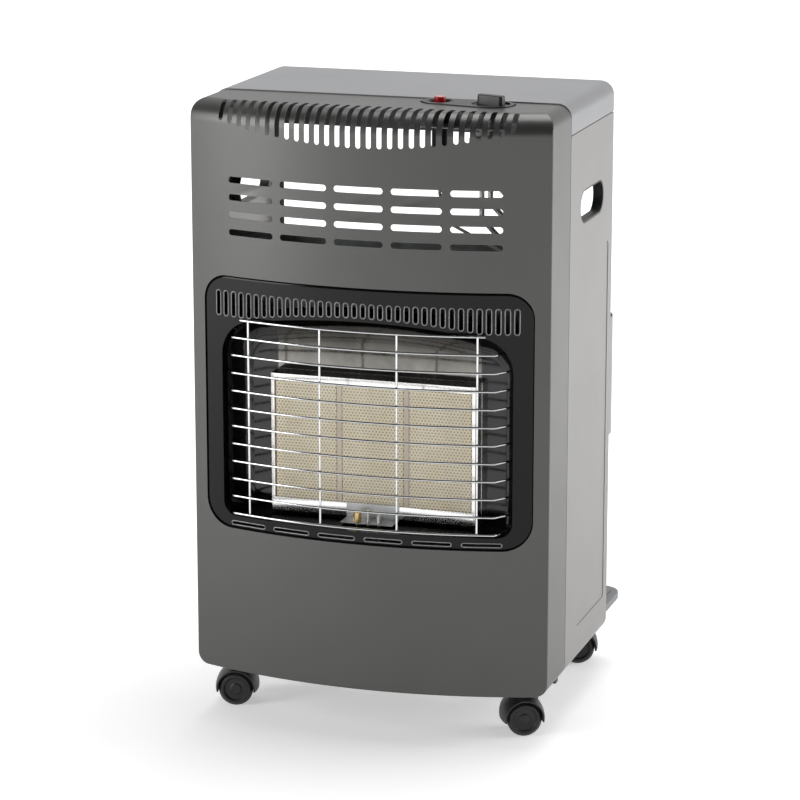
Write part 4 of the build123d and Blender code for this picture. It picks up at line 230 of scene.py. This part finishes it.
# ---------------------------------------------------------------- materials of the CAD nodes
gunmetal = painted("gunmetal_enamel", (0.098, 0.099, 0.095), 0.36, metallic=0.7)
side_grey = painted("side_enamel", (0.245, 0.237, 0.232), 0.40, metallic=0.4)
cover_grey = painted("cover_enamel", (0.27, 0.272, 0.282), 0.38, metallic=0.5)
shelf_grey = painted("shelf_enamel", (0.17, 0.174, 0.182), 0.42, metallic=0.3)
gloss_black = painted("gloss_black_enamel", (0.004, 0.004, 0.0045), 0.10,
                      flake=0.1, orange_peel=0.02, specular=0.2)
pad_black = moulded("control_pad_black", (0.02, 0.02, 0.021), 0.42, texture=0.12)
chrome = bare_metal("chrome_wire", (0.66, 0.67, 0.68), 0.09, scratch=0.03, streak_scale=25.0)
bright = bare_metal("polished_sheet", (0.80, 0.79, 0.77), 0.13, streak=(6.0, 1.0, 1.0), scratch=0.07,
                    stain=0.35, stain_color=(0.46, 0.42, 0.34))
rail_metal = bare_metal("rail_chrome", (0.88, 0.88, 0.87), 0.10, scratch=0.04)
zinc = bare_metal("zinc_sheet", (0.58, 0.59, 0.60), 0.34,
                  streak=(2.0, 2.0, 2.0), streak_scale=18.0, scratch=0.12)
screw_metal = bare_metal("zinc_screws", (0.66, 0.66, 0.64), 0.26, streak_scale=120.0)
tube_metal = bare_metal("drawn_tube", (0.70, 0.69, 0.67), 0.28, scratch=0.1)
brass = bare_metal("turned_brass", (0.78, 0.58, 0.26), 0.22, streak=(1.0, 1.0, 40.0), stain=0.3,
                   stain_color=(0.42, 0.27, 0.11))
cast = bare_metal("die_cast", (0.58, 0.58, 0.57), 0.46,
                  streak=(1.0, 1.0, 1.0), streak_scale=300.0, scratch=0.1)
steel = bare_metal("bright_steel", (0.62, 0.63, 0.64), 0.24, streak=(1.0, 1.0, 20.0), scratch=0.08)
glazed = moulded("glazed_ceramic", (0.86, 0.84, 0.79), 0.18, texture=0.03, coat=0.4)
sleeve = moulded("silicone_sleeve", (0.62, 0.58, 0.52), 0.5, texture=0.2)
black_plastic = moulded("black_moulding", (0.016, 0.016, 0.017), 0.45)
knob_plastic = moulded("knob_moulding", (0.012, 0.012, 0.013), 0.36, texture=0.15)
wheel_plastic = moulded("wheel_moulding", (0.022, 0.022, 0.024), 0.5, texture=0.35)
fibre = moulded("fibre_gasket", (0.80, 0.70, 0.60), 0.9, texture=0.9, grain=700.0, specular=0.2)


def reflector_sheet():
    """Polished steel, painted darker above the plaques and black on the dish's side walls, both painted dark
    reflections.
    """
    made = Shader("reflector_sheet", (0.62, 0.60, 0.56), 0.07, metallic=1.0)
    axes = made.node("ShaderNodeSeparateXYZ", {0: made.coords})
    # the side walls beyond the bright middle are painted black and not metallic: a painted dark reflection
    side = made.spread(made.math("ABSOLUTE", axes.outputs["X"]),
                       REFLECTOR_PAINTED_DARK - REFLECTOR_PAINTED_DARK_FADE, REFLECTOR_PAINTED_DARK, 0.0, 1.0)
    smudge = made.noise(26.0, 4.0, 0.6, distortion=0.5)
    steel_tone = made.ramp(smudge, ((0.3, (0.17, 0.165, 0.15)), (0.7, (0.29, 0.28, 0.26))))
    # darker above the plaques: a painted dark reflection
    painted_dark_top = made.spread(axes.outputs["Z"], REFLECTOR_DARK_TOP_LOW, REFLECTOR_DARK_TOP_HIGH, 0.0, 0.8)
    dark_topped_tone = made.mix(painted_dark_top, steel_tone, (0.012, 0.011, 0.010))
    made.color(made.mix(side, dark_topped_tone, (0.006, 0.006, 0.0065)))
    made.links.new(made.math("SUBTRACT", 1.0, side), made.shader.inputs["Metallic"])
    made.roughness(made.spread(smudge, 0.3, 0.75, 0.05, 0.14))
    fine = made.math("MULTIPLY", made.noise(300.0, 2.0), 0.02)
    made.bump(made.math("ADD", made.noise(8.0, 2.0), fine), 0.25, 0.003)
    return made.material


def red_button():
    """Clear red plastic with a soft gloss."""
    made = Shader("red_button", (0.62, 0.012, 0.01), 0.16, transmission=0.25, ior=1.49, coat=0.5)
    made.roughness(made.spread(made.noise(60.0, 3.0), 0.3, 0.7, 0.12, 0.22))
    made.color(made.ramp(made.noise(90.0, 2.0), ((0.3, (0.5, 0.008, 0.007)), (0.7, (0.72, 0.02, 0.015)))))
    made.bump(made.noise(400.0, 2.0), 0.05, 0.0003)
    return made.material


def plaque_ceramic():
    """Fired ceramic with rows of fine burner holes on a staggered grid: pits in the bump with painted shade
    in them, mottled cream.
    """
    made = Shader("plaque_ceramic", (0.80, 0.72, 0.55), 0.85, specular=0.25)
    axes = made.node("ShaderNodeSeparateXYZ", {0: made.coords})
    row = made.math("FLOOR", made.math("DIVIDE", axes.outputs["Z"], PLAQUE_HOLE_PITCH_Z))
    shift = made.math("MULTIPLY", made.math("MODULO", made.math("ABSOLUTE", row), 2.0), 0.5)
    column = made.math("ADD", made.math("DIVIDE", axes.outputs["X"], PLAQUE_HOLE_PITCH_X), shift)
    across = made.math("SUBTRACT", made.math("FRACT", column), 0.5)
    rise = made.math("DIVIDE", axes.outputs["Z"], PLAQUE_HOLE_PITCH_Z)
    up = made.math("SUBTRACT", made.math("FRACT", rise), 0.5)
    squares = made.math("ADD", made.math("MULTIPLY", across, across), made.math("MULTIPLY", up, up))
    hole_pit_and_shade = made.spread(made.math("SQRT", squares), PLAQUE_HOLE_INNER, PLAQUE_HOLE_OUTER, 1.0, 0.0)
    body = made.ramp(made.noise(45.0, 4.0, 0.6), ((0.3, (0.95, 0.85, 0.65)), (0.7, (1.0, 0.94, 0.77))))
    # the pits' colour is darkened: painted shade in the holes
    made.color(made.mix(hole_pit_and_shade, body, (0.52, 0.42, 0.27)))
    grit = made.math("MULTIPLY", made.noise(1500.0, 2.0), 0.12)
    made.bump(made.math("SUBTRACT", grit, hole_pit_and_shade), 0.5, 0.0006)
    return made.material


ceramic = plaque_ceramic()
dish = reflector_sheet()
red = red_button()

LOOKS = {
    gunmetal: ["front_panel"],
    side_grey: ["side_panel_left", "side_panel_right", "rear_guard"],
    cover_grey: ["top_cover"],
    shelf_grey: ["base_tray"],
    gloss_black: ["surround"],
    pad_black: ["control_plate"],
    chrome: ["wire_guard"],
    dish: ["reflector"],
    bright: ["burner_frame"],
    rail_metal: ["plaque_rails"],
    ceramic: ["plaque_left", "plaque_centre", "plaque_right"],
    fibre: ["plaque_gaskets"],
    zinc: ["plenum_left", "plenum_centre", "plenum_right", "heat_shield", "injector_bracket", "pilot_bracket",
           "valve_bracket", "castor_sockets"],
    screw_metal: ["case_screws"],
    tube_metal: ["supply_pipes", "pilot_pipe", "thermocouple"],
    brass: ["injectors", "hose_nozzle", "pilot_burner", "valve_rotor"],
    cast: ["gas_valve"],
    steel: ["knob_spring", "igniter_spring", "valve_spindle"],
    glazed: ["spark_electrode"],
    sleeve: ["ignition_lead"],
    black_plastic: ["handle_insert_left", "handle_insert_right", "panel_clips", "igniter_body"],
    knob_plastic: ["control_knob"],
    red: ["igniter_button"],
}
for corner in ("front_left", "front_right", "rear_left", "rear_right"):
    LOOKS[black_plastic].append(f"castor_hood_{corner}")
    LOOKS[steel].append(f"castor_pins_{corner}")
    for letter in "ab":
        LOOKS.setdefault(wheel_plastic, []).append(f"castor_wheel_{corner}_{letter}")
for material, members in LOOKS.items():
    for name in members:
        mesh = nodes[name].data
        mesh.materials.clear()
        mesh.materials.append(material)

# ---------------------------------------------------------------- rolled lips round the surround's slots, light grey as a painted highlight
# light grey on the gloss black surround: a painted highlight along the slots' lips
lip_highlight_grey = painted("lip_painted_highlight", (0.36, 0.36, 0.365), 0.22, flake=0.02, orange_peel=0.03, coat=0.4)


def surround_y(x):
    """The surround's front face, bowed about an upright axis."""
    return BOW_CENTRE_Y - math.sqrt(SURROUND_RADIUS ** 2 - x ** 2)


def stadium(half_width, low, high, steps=7):
    """Outline of an upright slot round x 0, as offsets (x, z), anticlockwise."""
    outline = []
    for centre_z, start in ((high - half_width, 0.0), (low + half_width, math.pi)):
        for step in range(steps):
            turn = start + math.pi * step / (steps - 1)
            outline.append((half_width * math.cos(turn), centre_z + half_width * math.sin(turn)))
    return outline


def add_lip(edit, outline):
    """A thin round bead that follows the outline on the bowed face."""
    rings = []
    count = len(outline)
    for index, (x, z) in enumerate(outline):
        before, after = outline[index - 1], outline[(index + 1) % count]
        run = Vector((after[0] - before[0], after[1] - before[1])).normalized()
        ring = []
        for side in range(LIP_SIDES):
            turn = 2 * math.pi * side / LIP_SIDES
            out = LIP_RADIUS * math.cos(turn)
            ahead = LIP_RADIUS * math.sin(turn)
            ring.append(edit.verts.new((x + out * run.y, surround_y(x) - ahead, z - out * run.x)))
        rings.append(ring)
    for index in range(count):
        here, there = rings[index], rings[(index + 1) % count]
        for side in range(LIP_SIDES):
            other = (side + 1) % LIP_SIDES
            edit.faces.new((here[side], here[other], there[other], there[side])).smooth = True


def add_piece(name, edit, material, body):
    """An edited mesh as an object that rides on a body."""
    mesh = bpy.data.meshes.new(name)
    bmesh.ops.recalc_face_normals(edit, faces=edit.faces)
    edit.to_mesh(mesh)
    edit.free()
    mesh.materials.append(material)
    piece = bpy.data.objects.new(name, mesh)
    bpy.context.scene.collection.objects.link(piece)
    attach(piece, body)


heat_lips = bmesh.new()
for index in range(HEAT_SLOT_COUNT):
    middle = (index - (HEAT_SLOT_COUNT - 1) / 2) * HEAT_SLOT_PITCH
    reach = min(abs(middle), ARCH_HALF)
    low = ARCH_PEAK - ARCH_RADIUS + math.sqrt(ARCH_RADIUS ** 2 - reach ** 2) + HEAT_SLOT_MARGIN
    add_lip(heat_lips, [(middle + x, z) for x, z in stadium(HEAT_SLOT_WIDTH / 2, low, HEAT_SLOT_TOP)])
add_piece("heat_slot_lips", heat_lips, lip_highlight_grey, "cabinet")

air_lips = bmesh.new()
for index in range(AIR_SLOT_COUNT):
    middle = (index - (AIR_SLOT_COUNT - 1) / 2) * AIR_SLOT_PITCH
    lying = stadium(AIR_SLOT_HEIGHT / 2, -AIR_SLOT_LENGTH / 2, AIR_SLOT_LENGTH / 2)
    add_lip(air_lips, [(middle + z, AIR_SLOT_Z - x) for x, z in lying])
add_piece("air_slot_lips", air_lips, lip_highlight_grey, "cabinet")


# ---------------------------------------------------------------- springs copied from the CAD nodes
def pressed_spring(node):
    """A copy of a CAD spring on a mesh of its own, riding on the cabinet, with the CAD node hidden."""
    piece = bpy.data.objects.new(f"{node}_wire", nodes[node].data.copy())
    piece.matrix_world = nodes[node].matrix_world
    bpy.context.scene.collection.objects.link(piece)
    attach(piece, "cabinet")
    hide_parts(node)
    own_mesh(piece)


pressed_spring("knob_spring")
pressed_spring("igniter_spring")

# ---------------------------------------------------------------- floor, backdrop and light
floor_mesh = bpy.data.meshes.new("floor")
floor_edit = bmesh.new()
bmesh.ops.create_grid(floor_edit, x_segments=1, y_segments=1, size=FLOOR_HALF)
floor_edit.to_mesh(floor_mesh)
floor_edit.free()
floor = bpy.data.objects.new("floor", floor_mesh)
bpy.context.scene.collection.objects.link(floor)

floor_look = Shader("floor_white", (0.80, 0.80, 0.80), 0.9, specular=0.0)
rays = floor_look.node("ShaderNodeLightPath")
mirrored = floor_look.math("MAXIMUM", rays.outputs["Is Glossy Ray"], rays.outputs["Is Transmission Ray"])
seen = floor_look.math("MAXIMUM", rays.outputs["Is Camera Ray"], mirrored)
far_off = floor_look.node("ShaderNodeVectorMath", {0: floor_look.coords}, operation="LENGTH").outputs["Value"]
shine = floor_look.spread(far_off, GLOW_NEAR, GLOW_FAR, GLOW_LOW, 1.0)
glow = floor_look.node("ShaderNodeEmission", {"Color": (1, 1, 1, 1), "Strength": shine})
plain = floor_look.shader.outputs[0]
both = floor_look.node("ShaderNodeAddShader", {0: plain, 1: glow.outputs[0]})
choice = floor_look.node("ShaderNodeMixShader", {"Fac": seen, 1: plain, 2: both.outputs[0]})
floor_look.links.new(choice.outputs[0], floor_look.nodes["Material Output"].inputs["Surface"])
floor_mesh.materials.append(floor_look.material)

world = bpy.context.scene.world or bpy.data.worlds.new("studio")
bpy.context.scene.world = world
world.use_nodes = True
sky, wires = world.node_tree.nodes, world.node_tree.links
background = sky["Background"]
path = sky.new("ShaderNodeLightPath")
either = sky.new("ShaderNodeMath")
either.operation = "MAXIMUM"
wires.new(path.outputs["Is Camera Ray"], either.inputs[0])
wires.new(path.outputs["Is Transmission Ray"], either.inputs[1])
strength = sky.new("ShaderNodeMapRange")
wires.new(either.outputs[0], strength.inputs["Value"])
# the room in front of the object is dim, the backdrop behind it is white
direction = sky.new("ShaderNodeTexCoord")
axes = sky.new("ShaderNodeSeparateXYZ")
wires.new(direction.outputs["Generated"], axes.inputs[0])
room = sky.new("ShaderNodeMapRange")
wires.new(axes.outputs["Y"], room.inputs["Value"])
for key, value in (("From Min", -0.35), ("From Max", 0.45), ("To Min", 0.05), ("To Max", 0.8)):
    room.inputs[key].default_value = value
wires.new(room.outputs[0], strength.inputs["To Min"])
strength.inputs["To Max"].default_value = 1.0
background.inputs["Color"].default_value = (1, 1, 1, 1)
wires.new(strength.outputs[0], background.inputs["Strength"])


def lamp(name, place, aim, width, height, power):
    """A soft rectangular studio light pointed at a place on the object."""
    data = bpy.data.lights.new(name, "AREA")
    data.shape = "RECTANGLE"
    data.size, data.size_y = width, height
    data.energy = power
    made = bpy.data.objects.new(name, data)
    made.location = place
    made.rotation_euler = (Vector(aim) - Vector(place)).to_track_quat("-Z", "Y").to_euler()
    bpy.context.scene.collection.objects.link(made)


lamp("key", (-2.35, -2.3, 1.3), aim=(0, 0, 0.35), width=1.3, height=1.9, power=54.0)
lamp("side", (3.0, 1.3, 1.2), aim=(0.1, 0, 0.35), width=1.8, height=1.8, power=52.0)
lamp("top", (0.2, 0.6, 3.0), aim=(0, 0, 0.5), width=1.8, height=1.8, power=42.0)

camera_data = bpy.data.cameras.new("camera")
camera_data.sensor_width = SENSOR_MM
camera_data.lens = SENSOR_MM * FOCAL_PIXELS / PHOTO_WIDTH
camera_data.clip_end = CAMERA_FAR
camera = bpy.data.objects.new("camera", camera_data)
camera.location = CAMERA_PLACE
camera.rotation_euler = (math.pi / 2 - CAMERA_PITCH, 0.0, CAMERA_YAW)
bpy.context.scene.collection.objects.link(camera)
bpy.context.scene.camera = camera

scene = bpy.context.scene
scene.view_settings.view_transform = "Standard"
